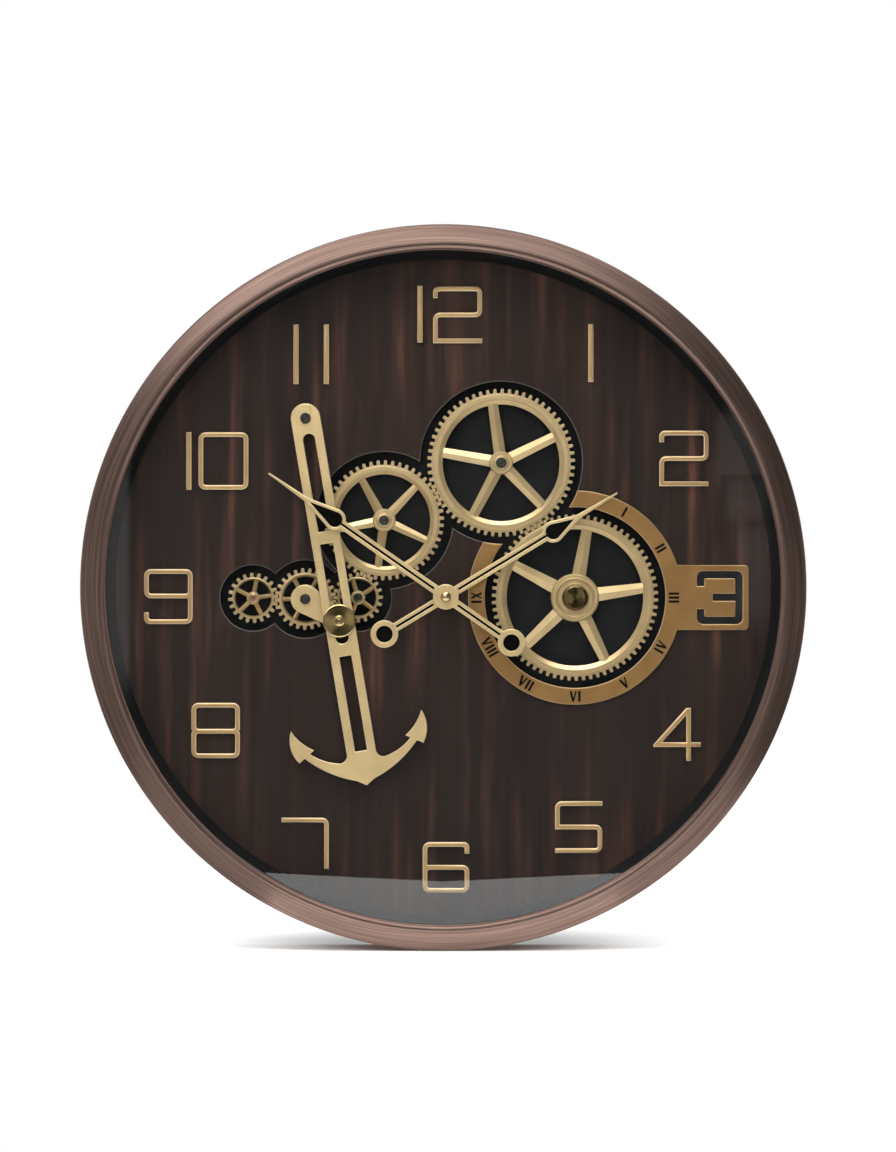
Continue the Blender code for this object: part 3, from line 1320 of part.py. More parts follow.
def make_motion_work(centre, motion, knob, wheel, hour, joint):
    """The minute arbor, the motion wheel and the hour wheel, 3 to 1 and 4 to 1, and the setting knob."""
    module, small_module = MOTION_MODULE, motion_pinion_module()
    wheel_back, wheel_front = wheel
    hour_back, hour_front = hour
    arbor_back, arbor_front = joint + SEAT, NUT_FRONT - NUT_ROOF - SEAT
    arbor = rod("minute_arbor", ARBOR_RADIUS, arbor_back, arbor_front, "steel", centre)
    pinion = [toothed_outline(CANNON_TEETH, 0.0, module)]
    back, front = wheel_back - PINION_SPARE, wheel_front + PINION_SPARE
    join(arbor, plate("cannon_pinion", pinion, back, front, None, centre))

    phase = meshing_phase(CANNON_TEETH, 0.0, MOTION_BEARING, MOTION_TEETH)
    large = [toothed_outline(MOTION_TEETH, phase, module)]
    motion_wheel = plate("motion_wheel", large, wheel_back, wheel_front, "white plastic", motion)
    small = [toothed_outline(MOTION_PINION_TEETH, phase, small_module)]
    back, front = wheel_front - MOTION_WHEEL_FACE / 2, hour_front + PINION_SPARE
    join(motion_wheel, plate("motion_pinion", small, back, front, None, motion))
    back, front = wheel_back - OVERCUT, hour_front + OVERCUT
    cut(motion_wheel, bore("motion_bore", MOTION_PIN_RADIUS + RUN, back, front, motion))

    hour_phase = meshing_phase(MOTION_PINION_TEETH, phase, MOTION_BEARING + 180, HOUR_TEETH)
    toothed = [toothed_outline(HOUR_TEETH, hour_phase, small_module)]
    hour_wheel = plate("hour_wheel", toothed, hour_back, hour_front, "white plastic", centre)
    pipe_back, pipe_front = hour_back + HOUR_WHEEL_FACE / 2, MINUTE_BACK - SEAT
    join(hour_wheel, rod("hour_pipe", PIPE_RADIUS, pipe_back, pipe_front, None, centre))
    back, front = hour_back - OVERCUT, pipe_front + OVERCUT
    cut(hour_wheel, bore("pipe_bore", ARBOR_RADIUS + RUN, back, front, centre))

    knob_front = MODULE_BACK - SEAT
    knob_back = knob_front - KNOB_HEIGHT
    profile = [
        (0, wheel_front),
        (ARBOR_RADIUS, wheel_front),
        (ARBOR_RADIUS, knob_front),
        (KNOB_RADIUS, knob_front),
        (KNOB_RADIUS, knob_back),
        (0, knob_back),
    ]
    set_knob = turned("set_knob", profile, "white plastic", knob, SCREW_SIDES)
    knob_phase = meshing_phase(MOTION_TEETH, phase, KNOB_BEARING, KNOB_TEETH)
    teeth = [toothed_outline(KNOB_TEETH, knob_phase, module)]
    back, front = wheel_back + PINION_SPARE, wheel_front + PINION_SPARE
    join(set_knob, plate("knob_pinion", teeth, back, front, None, knob))


def make_gear_motor(centre):
    outline = box_outline(MODULE_SIZE, MODULE_SIZE, MODULE_CORNER)
    case = plate("motor_case", [outline], MODULE_BACK, MODULE_FRONT, "black plastic", centre)
    inside_front = MODULE_FRONT - MODULE_WALL
    bay_centre = (centre[0], centre[1] - CELL_OFFSET)
    size = (BAY_LENGTH, BAY_WIDTH, inside_front - MODULE_BACK + OVERCUT)
    cut(case, block("motor_bay", size, MODULE_BACK - OVERCUT, None, bay_centre))
    back, front = MODULE_FRONT - MOTOR_SHAFT_DEPTH - SEAT, MODULE_FRONT + OVERCUT
    cut(case, bore("motor_shaft_bore", MOTOR_SHAFT_RADIUS + RUN, back, front, centre))
    make_cell("motor_cell", centre, inside_front - SEAT)


def make_clock():
    layout = train_layout()
    motor = layout["small_left_gear"][0]
    cover = make_case((HAND_CENTRE, motor))
    make_hanger(cover)
    dial = make_dial(layout)
    tray, lugs = make_tray(layout)
    make_tray_screws(tray, dial, lugs)
    make_subdial(layout)
    make_numerals()
    make_train(layout)
    make_crank(layout)
    make_anchor(layout)
    make_hands()
    make_movement()
    make_gear_motor(motor)


for old in list(bpy.data.objects):
    bpy.data.objects.remove(old)
pieces = collection("gear wall clock")
helpers = collection("cutters")
stand = bpy.data.objects.new("clock_stand", None)
stand.rotation_euler.x = math.radians(90)
stand.location.z = -(HANGER_HEIGHT + KEYHOLE_TRAVEL)
pieces.objects.link(stand)
make_clock()
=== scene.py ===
import json
import math
from collections import namedtuple

import bmesh
import bpy
from mathutils import Matrix, Vector


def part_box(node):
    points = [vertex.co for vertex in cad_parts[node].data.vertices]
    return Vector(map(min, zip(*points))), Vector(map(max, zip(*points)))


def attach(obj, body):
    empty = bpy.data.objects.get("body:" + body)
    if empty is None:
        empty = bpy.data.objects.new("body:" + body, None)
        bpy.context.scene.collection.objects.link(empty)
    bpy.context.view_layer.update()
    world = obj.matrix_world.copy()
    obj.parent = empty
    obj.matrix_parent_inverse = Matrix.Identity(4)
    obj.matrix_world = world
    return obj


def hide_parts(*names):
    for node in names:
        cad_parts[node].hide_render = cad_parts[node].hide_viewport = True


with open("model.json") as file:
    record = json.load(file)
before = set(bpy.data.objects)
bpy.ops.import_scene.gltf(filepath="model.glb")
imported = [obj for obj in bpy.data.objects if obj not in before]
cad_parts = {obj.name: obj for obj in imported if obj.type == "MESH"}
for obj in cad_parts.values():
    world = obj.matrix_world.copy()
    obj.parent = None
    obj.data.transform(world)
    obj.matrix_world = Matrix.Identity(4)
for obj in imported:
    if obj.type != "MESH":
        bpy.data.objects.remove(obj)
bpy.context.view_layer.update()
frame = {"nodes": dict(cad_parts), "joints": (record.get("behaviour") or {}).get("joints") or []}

# The clock hangs in the x-z plane with its dial towards -Y. Shapes are drawn on a board, x to the right,
# y up and z from the wall to the viewer, and stood up when they are finished.
MM = 0.001
STAND_UP = Matrix.Rotation(math.radians(90), 4, "X")

# Small roundings, and the gap that pieces keep
SHARP = 0.1 * MM
FINE = 0.2 * MM
SOFT = 0.3 * MM
GAP = 0.3 * MM

# Case
CROWN_INSET = 11.6 * MM
CROWN_HEIGHT = 3.0 * MM
# The last corner before the crown: how far in from it and how far behind it
CROWN_LEAD = (1.2 * MM, 0.3 * MM)
SLOPE_DROP = 6.2 * MM
SLOPE_CURVE = 1.5
EDGE_ROUND = 1.8 * MM
SHOULDER_DROP = 9.0 * MM
SHOULDER_START = 40
CASE_FOOT_EDGE = 0.8 * MM
LIP_EDGE = 1.0 * MM
LIP_RADIUS = 185.4 * MM
CASE_BORE = 191.5 * MM
SPACER_FRONT_RADIUS = 186.2 * MM
SPACER_FOOT_RADIUS = 181.4 * MM
SPACER_FOOT_HEIGHT = 1.2 * MM
SPACER_EDGES = (0.5 * MM, 0.4 * MM)
PANE_RADIUS = 191.2 * MM
GLASS_EDGE = 0.4 * MM

# Dial and sub-dial
BUSH_HOLE = 4.3 * MM
PIVOT_HOLE = 1.6 * MM
DIAL_EDGE = 0.55 * MM
SUBDIAL_EDGE = 0.55 * MM
SUBDIAL_WIDTH = 9.2 * MM
TAB_REACH = 96.1 * MM
TAB_HEIGHT = 35.9 * MM
TAB_CORNER = 2.5 * MM
THREE_MARGIN = 3.45 * MM
THREE_SIZE = (25.3 * MM, 29.3 * MM)
THREE_STROKE = 4.0 * MM
THREE_HOOK = 8.3 * MM
THREE_BAR_START = 8.8 * MM
THREE_BAR_RISE = 14.8 * MM
THREE_CORNER = 3.4 * MM
# A black sheet behind the 3, between the dial and the tab, that makes the cut of the 3 look black
DARK_SHEET_MARGIN = 1.2 * MM
DARK_SHEET_GAP = 0.05 * MM

# Raised numerals, as strokes of one width with a round front
STROKE = 2.6 * MM
STROKE_CORNER = 2.6 * MM
LEAST_CORNER = 0.2 * MM
STROKE_CROWN = 0.85 * MM
STROKE_DROP = 0.8 * MM
HOOK = 6.4 * MM
WAIST = 0.9 * MM
FOUR_STEM_INSET = 5.4 * MM
# The height of each numeral's middle bar above its foot
MIDDLE_BARS = {
    "numeral_12_two": 15.7 * MM,
    "numeral_2": 15.3 * MM,
    "numeral_4": 9.0 * MM,
    "numeral_5": 14.3 * MM,
    "numeral_6": 14.0 * MM,
    "numeral_8": 14.9 * MM,
    "numeral_9": 14.9 * MM,
}
NUMERALS = (
    "numeral_12_one", "numeral_12_two", "numeral_1", "numeral_2", "numeral_4", "numeral_5", "numeral_6",
    "numeral_7", "numeral_8", "numeral_9", "numeral_10_one", "numeral_10_zero", "numeral_11_left",
    "numeral_11_right",
)

# Roman numerals printed round the sub-dial
ROMANS = ("I", "II", "III", "IV", "V", "VI", "VII", "VIII", "IX")
ROMAN_HEIGHT = 5.8 * MM
ROMAN_THICK = 1.3 * MM
ROMAN_THIN = 0.9 * MM
ROMAN_GAP = 0.6 * MM
ROMAN_ADVANCE = {"I": 2.2 * MM, "V": 4.7 * MM, "X": 4.7 * MM}
PRINT_THICKNESS = 0.06 * MM
PRINT_GAP = 0.01 * MM
# How much further out a letter's second stroke lies, as a share of the print's thickness
PRINT_STEP = 0.3

# Gear train
MODULE = 1.29 * MM
ADDENDUM = 0.75
DEDENDUM = 1.1
ROOT_WIDTH = 1.58
TIP_WIDTH = 1.25
TIP_ROUND = 0.32
# How far below the tip its corners lie, in modules, and their share of its width
TIP_CORNERS = ((0.06, 0.9), (0.0, 0.6))
TOOTH_EDGE = 0.22 * MM
UPPER_GEAR_PHASE = 2.0
# A gear's body, teeth, the gear that it meshes with, the dial's margin round it, its spokes and the bearing
# of the first, and in mm its rim below the teeth, the rim's bevel, the hub's radius, and a spoke's width at
# the rim and at the hub
Gear = namedtuple("Gear", "body teeth neighbour margin spokes first rim bevel hub rim_width hub_width")
GEARS = {
    "upper_gear": Gear("upper_wheel", 62, None, 4.0, 5, 26.0, 6.2, 2.3, 6.5, 5.5, 6.5),
    "right_gear": Gear("right_wheel", 70, "upper_gear", 3.9, 5, 8.0, 5.9, 2.4, 13.4, 5.7, 8.0),
    "middle_gear": Gear("middle_wheel", 50, "upper_gear", 4.8, 5, -25.3, 5.3, 1.9, 6.4, 3.8, 5.3),
    "small_right_gear": Gear("small_right_wheel", 20, "middle_gear", 4.8, 5, -38.0, 1.6, 0.7, 4.0, 2.3, 2.3),
    "small_centre_gear": Gear("crank_wheel", 25, "small_right_gear", 4.5, 6, 0.0, 2.3, 0.9, 4.6, 2.3, 2.3),
    "small_left_gear": Gear("motor_wheel", 20, "small_centre_gear", 4.4, 5, 8.0, 1.6, 0.7, 3.6, 2.3, 2.3),
}
GEAR_THICKNESS = 4.0 * MM
BEVEL_DROP = 1.5 * MM
TOOTH_SETBACK = 0.6 * MM
# The groove between a rim's bevel and its flat, and the land outside the flat, as shares of the rim
RIM_GROOVE = 0.08
RIM_LAND = 0.12
LAND_CHAMFER = (0.35 * MM, 0.25 * MM)
RIDGE_SETBACK = 0.25 * MM
EAVES_SETBACK = 1.5 * MM
SPOKE_ROOT = 0.6
BORE = 2.0 * MM
# Hubs: the step's height over the rim, the collar and the neck as shares of the radius, and the profiles,
# with corners (radius, depth, rounding) in mm
HUB_RISE = 0.8 * MM
HUB_COLLAR = 0.62
HUB_NECK = 0.87
HUB_EDGE = 0.35
HUB_CUP = ((7.7, 0, 0.3), (8.1, -1.0, 0.2), (9.4, -1.0, 0.2), (10.8, -0.1, 0.4))
HUB_STEP = ((11.0, 0, 0.2), (12.6, 0, 0.6))
# Corners measured outwards from the collar's radius, and from the hub's
COLLAR_LEDGE = ((0, 0, 0.15), (0.3, -0.3, 0.1))
HUB_BROW = ((-0.5, -0.3, HUB_EDGE), (0, -1.1, 0.1))
STEP_FOOT = ((0, -0.9, 0.2),)

# Screws, washers and turned pieces, their profiles as the hubs'
AXLE_SHANK = 1.7 * MM
SOCKET_HEAD = 1.0 * MM
# As shares of a head's radius: its socket and the thickest shank. As shares of its height: how far below the
# front its turned part ends, where the part with the socket starts, and the rounding.
SOCKET = 0.55
SHANK_SHARE = 0.6
HEAD_SPLIT = (0.55, 0.58)
HEAD_ROUND = 0.3
HEAD_GAP = 0.01 * MM
CAP_PROFILE = ((1.7, -2.6, 0), (7.2, -2.6, 0.2), (7.2, -1.0, 0.7), (5.76, -0.2, 0.5), (0, 0, 0))
WASHER_GAP = 0.08 * MM
WASHER_PROFILE = ((0.05, 0, 0), (0.05, 0.5, 0.1), (1.05, 0.3, 0.15), (1.2, 0, 0.05))
PIVOT_SOCKET = 1.6 * MM
PIVOT_SOCKET_DEPTH = 0.72 * MM
PIVOT_HEAD = ((0, -0.7, 0), (3.0, -0.7, 0.2))
PIVOT_HEAD_FOOT = ((3.0, 0.3, 0.1), (2.0, 0.3, 0))
PIVOT_NECK_FOOT = ((2.0, -0.3, 0), (3.2, -0.3, 0.3))
PIVOT_FLANGE = ((3.2, 1.3, 0.2), (5.0, 1.3, 0.3), (5.0, 0.3, 0.1), (1.3, 0.3, 0))
PIVOT_END = ((1.3, 0, 0), (0, 0, 0))
DISC_PROFILE = ((1.6, -0.2, 0), (8.5, -0.2, 0.1), (8.5, -1.2, 0), (3.3, -1.2, 0))
DISC_EDGE_PROFILE = ((8.45, -1.2, 0), (8.45, 0, 0.15), (9.1, -0.1, 0.25), (9.1, -1.2, 0.2))
BOSS_END = ((0, 0, 0), (1.2, 0, 0.1))
BOSS_PROFILE = (
    (1.2, -1.5, 0), (3.05, -1.5, 0.1), (3.05, -0.3, 0.3), (2.2, 0, 0.2), (1.9, -0.6, 0.1), (1.2, -0.6, 0.1),
    (1.0, -0.1, 0.2), (0, -0.1, 0),
)
NUT_RADIUS = 2.9 * MM
NUT_BASE = 1.0 * MM
NUT_DOME = 1.5 * MM
NUT_POINT_RADIUS = 0.7 * MM
NUT_TOP = ((1.5, -1.0, 0), (0.55, -1.0, 0), (0.55, -0.05, 0.1))

# Crank, anchor and hands
CRANK_HEAD_RADIUS = 8.0 * MM
CRANK_END_RADIUS = 5.0 * MM
CRANK_RADIUS = 22.4 * MM
CRANK_BEARING = -32.4
CRANK_STUB_RADIUS = 2.6 * MM
CRANK_THICKNESS = 1.2 * MM
PIVOT_BORE = 2.3 * MM
SIDE_SLOT_CORNER = 0.4 * MM
ARM_HALF_WIDTH = 8.15 * MM
ARM_SLOT_START = 8.7 * MM
ARM_SLOT_END = 186.2 * MM
ARM_BRIDGE = 6.95 * MM
SIDE_SLOT_WIDTH = 6.7 * MM
CRANK_SLOT_WIDTH = 7.3 * MM
CRANK_SLOT_SPARE = 3.6 * MM
# The fluke's outline beside the arm's axis, in mm: across it, and down it from the pivot
FLUKE_FILLET_DROP = 187.8
FLUKE_THROAT = (12.4, 191.3)
FLUKE_INNER_NECK = (28.1, 183.4)
FLUKE_INNER_BARB = (25.6, 181.7)
FLUKE_POINT = (36.5, 169.3)
FLUKE_OUTER_BARB = (34.7, 187.5)
FLUKE_OUTER_NECK = (31.4, 185.4)
FLUKE_KEEL = (5.0, 202.3)
FLUKE_TIP = 205.5
FILLET_BOW = 1.0
THROAT_BOW = 1.3
INNER_BOW = 1.2
OUTER_BOW = -2.6
KEEL_BOW = -2.0
PLATE_EDGE = 0.5 * MM
RAIL = 2.5 * MM
HAND_SLOT = 0.6 * MM
HAND_SLOT_START = 8.0 * MM
HUB_RADIUS = 7.0 * MM
RING_RADIUS = 7.6 * MM
RING_HOLE = 4.6 * MM
LEAF_RADIUS = 6.0 * MM
LEAF_HOLE = 4.2 * MM
LEAF_SHOULDER = 25
TIP_HALF_WIDTH = 1.3 * MM
POINT_HALF_WIDTH = 0.45 * MM
LEAF_TOE = 2.2 * MM
INLAY_DEPTH = 0.3 * MM
# length, leaf's centre, leaf's point, tail ring's centre, shaft hole, and the bearing from 12 o'clock
HANDS = {
    "minute_hand": (118.9 * MM, 74.5 * MM, 93.5 * MM, 44.1 * MM, 1.5 * MM, 55.1),
    "hour_hand": (110.4 * MM, 69.2 * MM, 84.9 * MM, 39.6 * MM, 2.7 * MM, -58.8),
}

# Back: the board, the keyhole in it and the screws
COVER_THICKNESS = 2.5 * MM
COVER_RIM = 3.0 * MM
BOARD_EDGE = 0.6 * MM
KEYHOLE_RADIUS = 5.0 * MM
KEYHOLE_SLOT_RADIUS = 2.4 * MM
KEYHOLE_TRAVEL = 9.0 * MM
KEYHOLE_MARGIN = 1.4 * MM
HANGER_CORNER = 3.0 * MM
STAKE_REACH = 16.0 * MM
STAKE_RADIUS = 1.6 * MM
STAKE_HEAD = (2.8 * MM, 0.8 * MM)
MODULE_GAP = 3.0 * MM
WINDOW_CORNER = 1.5 * MM
RIM_EDGE = 0.4 * MM
HANGER_EDGE = 0.25 * MM
CASE_SCREW_HOLE = 2.6 * MM
CASE_SCREW_HEAD = 1.4 * MM
CASE_SCREW_SHANK = 1.3 * MM
CASE_SCREW_POINT = 2.0 * MM
CROSS_DEPTH = 0.8 * MM
CROSS_REACH = 1.45 * MM
CROSS_HALF_WIDTH = 0.36 * MM

# Back: the two modules, their cells and the setting knob
MODULE_CORNER = 3.0 * MM
MODULE_EDGE = 0.8 * MM
MODULE_WALL = 1.5 * MM
BAY_WALL = 1.7 * MM
BAY_MARGIN = 0.4 * MM
BAY_CORNER = 0.5 * MM
RIB_INSET = 4.2 * MM
RIB_CORNER = 2.5 * MM
RIB_WIDTH = 0.9 * MM
# Height, edge and drop of what stands out from a module's back
RIB = (0.55 * MM, 0.25 * MM, None)
RIVET = (0.55 * MM, 0.9 * MM, 0.4 * MM)
MARK = (0.3 * MM, 0.0, None)
RIVET_INSET = 9.0 * MM
RIVET_RADIUS = 1.7 * MM
MARK_SIZE = 1.2 * MM
MARK_STROKE = 0.3 * MM
MARK_REACH = 20.0 * MM
MARK_RISE = 2.1 * MM
SHAFT_HOLE = 1.8 * MM
KNOB_HOLE = 1.5 * MM
KNOB_FLUTES = 28
KNOB_FLUTE_DEPTH = 0.35 * MM
KNOB_HEIGHT = 2.6 * MM
# The well in the knob's head and the plate at its foot, as shares of its radius
KNOB_WELL = 0.55
KNOB_WELL_FLOOR = 0.56
KNOB_WELL_DEPTH = 0.5 * MM
KNOB_RING = 6.6 * MM
KNOB_SHAFT = 1.2 * MM
KNOB_TEETH = 12
KNOB_MODULE = 0.5 * MM
KNOB_PINION = 1.6 * MM
# A cell's rounding, where its wrap and its metal ends begin, and the ends' radii as shares of its own
CELL_EDGE = 0.7 * MM
WRAP_START = 0.2 * MM
WRAP_END = 0.15 * MM
END_DEPTH = 0.4 * MM
FOOT_SHARE = 0.72
HEEL_SHARE = 0.8
CAP_SHARE = 0.84
NUB_EDGE = 0.5 * MM
NUB_RADIUS = 2.7 * MM
NUB_LENGTH = 1.4 * MM
BAND_LENGTH = 13.0 * MM
CONTACT_THICKNESS = 0.25 * MM
CONTACT_REACH = 5.0 * MM
CONTACT_BOW = 1.2 * MM
# How far the contacts lie within the bay's walls, and within a cell's back and front
CONTACT_GAPS = (0.1 * MM, 0.05 * MM)
CONTACT_SETBACKS = (1.5 * MM, 2.5 * MM)

# Painted edge highlights: how metallic the edges look, and how squarely a face looks to the front or the back
# where the highlight begins and where it is complete
HIGHLIGHT_METALLIC = 0.25
EDGE_FLAT = 0.97
EDGE_STEEP = 0.75

# Satin metals: their two tones, roughness, how metallic they are, and the colour of a painted highlight on
# their edges
SATIN_METALS = {
    "pale brass": ((0.59, 0.42, 0.207), (0.69, 0.50, 0.253), 0.3, 0.5, (0.88, 0.72, 0.47)),
    "gear brass": ((0.51, 0.366, 0.188), (0.60, 0.436, 0.23), 0.34, 0.68, None),
    "polished brass": ((0.66, 0.50, 0.24), (0.72, 0.56, 0.29), 0.2, 1.0, None),
    "gold numerals": ((0.42, 0.255, 0.105), (0.48, 0.30, 0.13), 0.3, 0.5, (0.86, 0.66, 0.43)),
    "bronze sub-dial": ((0.245, 0.128, 0.042), (0.31, 0.168, 0.056), 0.38, 0.55, (0.78, 0.53, 0.30)),
    "copper screw": ((0.58, 0.34, 0.22), (0.68, 0.42, 0.28), 0.22, 0.9, None),
    "zinc plate": ((0.42, 0.42, 0.41), (0.52, 0.52, 0.5), 0.35, 0.9, None),
    "enamelled wire": ((0.4, 0.14, 0.06), (0.5, 0.19, 0.08), 0.35, 0.9, None),
}
# Moulded finishes: colour, roughness, the texture's fineness and lift, and the gloss
MOULDED = {
    "black plastic": ((0.0065, 0.0065, 0.0075), 0.5, 1400.0, 0.1, 0.25),
    "black enamel": ((0.0025, 0.002, 0.002), 0.6, 1400.0, 0.1, 0.04),
    "white plastic": ((0.74, 0.74, 0.71), 0.45, 1400.0, 0.1, 0.5),
    "cell wrap": ((0.05, 0.08, 0.2), 0.35, 900.0, 0.02, 0.5),
    "cell band": ((0.3, 0.31, 0.33), 0.3, 900.0, 0.02, 0.5),
}

# Steps round curves, and the limits that tell fronts, flats, creases and shared points
SLOPE_STEPS = 24
SHOULDER_STEPS = 8
CROWN_STEPS = 3
# How a rounded front edge goes in and up, as shares
EDGE_STEPS = ((0.3, 0.7), (0.7, 0.3))
# The most of a side that a rounded corner takes
CORNER_SHARE = 0.48
LEAST_TURN = 0.01
FACING = 0.9
FLAT_NORMAL = 0.9999
CREASE = math.radians(32)
SAME_PLACE = 1e-7
ON_AXIS = 1e-9
CORNER_STEPS = 6
ARC_CHORD = 1.2 * MM
RING_SEGMENTS = 256
WHEEL_SEGMENTS = 96
SCREW_SEGMENTS = 32
HEAD_SEGMENTS = 64

# Camera and studio, from the photograph of 896 by 1152 pixels
PHOTO_HEIGHT = 1152
PHOTO_CENTRE = (448.0, 576.0)
CLOCK_CENTRE = (443.3, 587.4)
PIXEL = 0.5505 * MM
CAMERA_DISTANCE = 3.0
SENSOR = 36.0
SKY_LIGHT = 0.7
# The floor's colour, and the darker colour that reflections see, which is a painted reflection tone
FLOOR_SHADE = 0.92
PAINTED_MIRRORED_SHADE = 0.76
# The floor's painted glow, which washes out its shadow away from the clock: none beside the clock, and its
# full amount from where it ends to start
FLOOR_STRETCH = (1.0, 0.7, 1.0)
PAINTED_FLOOR_GLOW = 0.5
GLOW_START = 0.045
GLOW_END = 0.14
# A painted glow that reflections of the floor get, beside the clock too
PAINTED_MIRRORED_GLOW = 0.25
FLOOR_CARD_RISE = 3.0 * MM
FLOOR_SIZE = 3.0
FLOOR_REACH = 0.68
FLOOR_NOTCH = 0.86
# Lamps: place, size and power
LAMPS = {
    "overhead_softbox": ((-0.35, -1.1, 1.85), (2.2, 1.3), 56.0),
    "front_fill": ((-0.5, -2.8, 0.8), (1.6, 1.0), 23.0),
}
# Cards: size, place, the way that they face, shade and softness. One without a height lies just over the
# floor, and one without a way faces the clock.
RIGHT, LEFT, BACK, UP = (1, 0, 0), (-1, 0, 0), (0, 1, 0), (0, 0, 1)
CARDS = {
    "overhead_card": ((3.3, 1.4), (-0.48, -1.0, 1.9), None, 2.35, 0.0),
    "front_card": ((8.0, 7.0), (0, -4.6, 0.6), BACK, 0.0, 0.0),
    "left_card": ((5.8, 5.6), (-2.2, -1.7, 0.9), RIGHT, 0.26, 0.0),
    "right_card": ((5.8, 5.6), (2.2, -1.7, 0.9), LEFT, 0.11, 0.0),
    "left_near_floor": ((0.16, 0.8), (-0.19, 0.16, None), UP, 0.56, 0.0),
    "right_near_floor": ((0.16, 0.8), (0.19, 0.16, None), UP, 0.78, 0.0),
    "left_far_floor": ((1.3, 1.8), (-0.93, -0.3, None), UP, 0.3, 0.0),
    "right_far_floor": ((1.3, 1.8), (0.93, -0.3, None), UP, 0.12, 0.0),
    "left_window": ((0.05, 0.40), (-0.452, -4.5, -0.15), BACK, 0.4, 0.45),
    "right_window": ((0.09, 0.13), (0.405, -4.5, 0.02), BACK, 0.24, 0.5),
    "right_shelf": ((0.07, 0.07), (0.41, -4.5, -0.05), BACK, 0.2, 0.5),
    "right_door": ((0.06, 0.18), (0.42, -4.5, -0.15), BACK, 0.16, 0.5),
}


# Points and outlines


def polar(radius, degrees, centre=(0.0, 0.0)):
    angle = math.radians(degrees)
    return centre[0] + radius * math.cos(angle), centre[1] + radius * math.sin(angle)


def arc(centre, radius, start, end, steps=None):
    """The points of an arc from start to end, in degrees, both ends with it."""
    if steps is None:
        steps = max(3, round(abs(math.radians(end - start)) * radius / ARC_CHORD))
    return [polar(radius, start + (end - start) * i / steps, centre) for i in range(steps + 1)]


def circle(centre, radius, steps=None):
    return arc(centre, radius, 0, 360, steps)[:-1]


def hole(centre, radius):
    """A small round hole or post."""
    return circle(centre, radius, SCREW_SEGMENTS)


def bearing(start, end):
    return math.degrees(math.atan2(end[1] - start[1], end[0] - start[0]))


def distance(start, end):
    return math.hypot(end[0] - start[0], end[1] - start[1])


def bowed(start, end, bow):
    """An arc between two points, off their chord by bow, to the left where bow is positive."""
    half = distance(start, end) / 2
    radius = (half * half + bow * bow) / (2 * abs(bow))
    side = math.copysign(1, bow)
    middle = ((start[0] + end[0]) / 2, (start[1] + end[1]) / 2)
    centre = polar(side * (abs(bow) - radius), bearing(start, end) + 90, middle)
    first = bearing(centre, start)
    sweep = -side * 2 * math.degrees(math.asin(min(1, half / radius)))
    return arc(centre, radius, first, first + sweep)


def crossing(centre_a, radius_a, centre_b, radius_b):
    """The bearing from circle A's centre to circle B's, and how far to each side of it the two cross."""
    apart = distance(centre_a, centre_b)
    cosine = (apart**2 + radius_a**2 - radius_b**2) / (2 * apart * radius_a)
    if abs(cosine) > 1:
        return bearing(centre_a, centre_b), None
    return bearing(centre_a, centre_b), math.degrees(math.acos(cosine))


def outline_of_union(circles):
    """The outer edge of overlapping circles (centre, radius), walked anticlockwise."""
    first = min(range(len(circles)), key=lambda i: circles[i][0][0] - circles[i][1])
    current, angle, outline = first, 180.0, []
    while True:
        centre, radius = circles[current]
        exits = []
        for other, (other_centre, other_radius) in enumerate(circles):
            if other == current:
                continue
            way, half = crossing(centre, radius, other_centre, other_radius)
            ahead = 0.0 if half is None else (way - half - angle) % 360
            if ahead > LEAST_TURN:
                exits.append((ahead, other))
        ahead, other = min(exits)
        home = (180.0 - angle) % 360 if current == first and outline else 360
        sweep = min(home, ahead)
        outline += arc(centre, radius, angle, angle + sweep)[:-1]
        if home <= ahead:
            return outline
        angle = bearing(circles[other][0], polar(radius, angle + sweep, centre))
        current = other


def rounded(corners):
    """A closed outline through corners (x, y, radius), each rounded by its radius."""
    outline = []
    for index, (x, y, radius) in enumerate(corners):
        here = Vector((x, y))
        if not radius:
            outline.append((x, y))
            continue
        before = Vector(corners[index - 1][:2]) - here
        after = Vector(corners[(index + 1) % len(corners)][:2]) - here
        half = before.angle(after) / 2
        reach = min(radius / math.tan(half), CORNER_SHARE * min(before.length, after.length))
        radius = reach * math.tan(half)
        before.normalize()
        after.normalize()
        middle = here + (before + after).normalized() * radius / math.sin(half)
        start = bearing(middle, here + before * reach)
        sweep = (bearing(middle, here + after * reach) - start + 180) % 360 - 180
        outline += arc(middle, radius, start, start + sweep, CORNER_STEPS)
    return outline


def ribbon(path, width):
    """The outline of a stroke along a path of (x, y, radius) corners, with square ends."""
    sides = []
    for side in (1, -1):
        row = []
        for index, (x, y, radius) in enumerate(path):
            here = Vector((x, y))
            ways = []
            if index > 0:
                ways.append((here - Vector(path[index - 1][:2])).normalized())
            if index < len(path) - 1:
                ways.append((Vector(path[index + 1][:2]) - here).normalized())
            normals = [Vector((-way.y, way.x)) for way in ways]
            offset = normals[0]
            corner = 0.0
            if len(normals) == 2:
                offset = (normals[0] + normals[1]) / (1 + normals[0].dot(normals[1]))
                turn = math.copysign(1, ways[0].x * ways[1].y - ways[0].y * ways[1].x)
                corner = max(0.0, radius - side * turn * width / 2) if radius else 0.0
            point = here + offset * side * width / 2
            row.append((point.x, point.y, corner))
        sides.append(row)
    return rounded(sides[0] + sides[1][::-1])


def moved(outline, offset):
    return [(x + offset[0], y + offset[1]) for x, y in outline]


def swung(outline, degrees):
    """An outline turned about the origin."""
    cosine, sine = math.cos(math.radians(degrees)), math.sin(math.radians(degrees))
    return [(x * cosine - y * sine, x * sine + y * cosine) for x, y in outline]


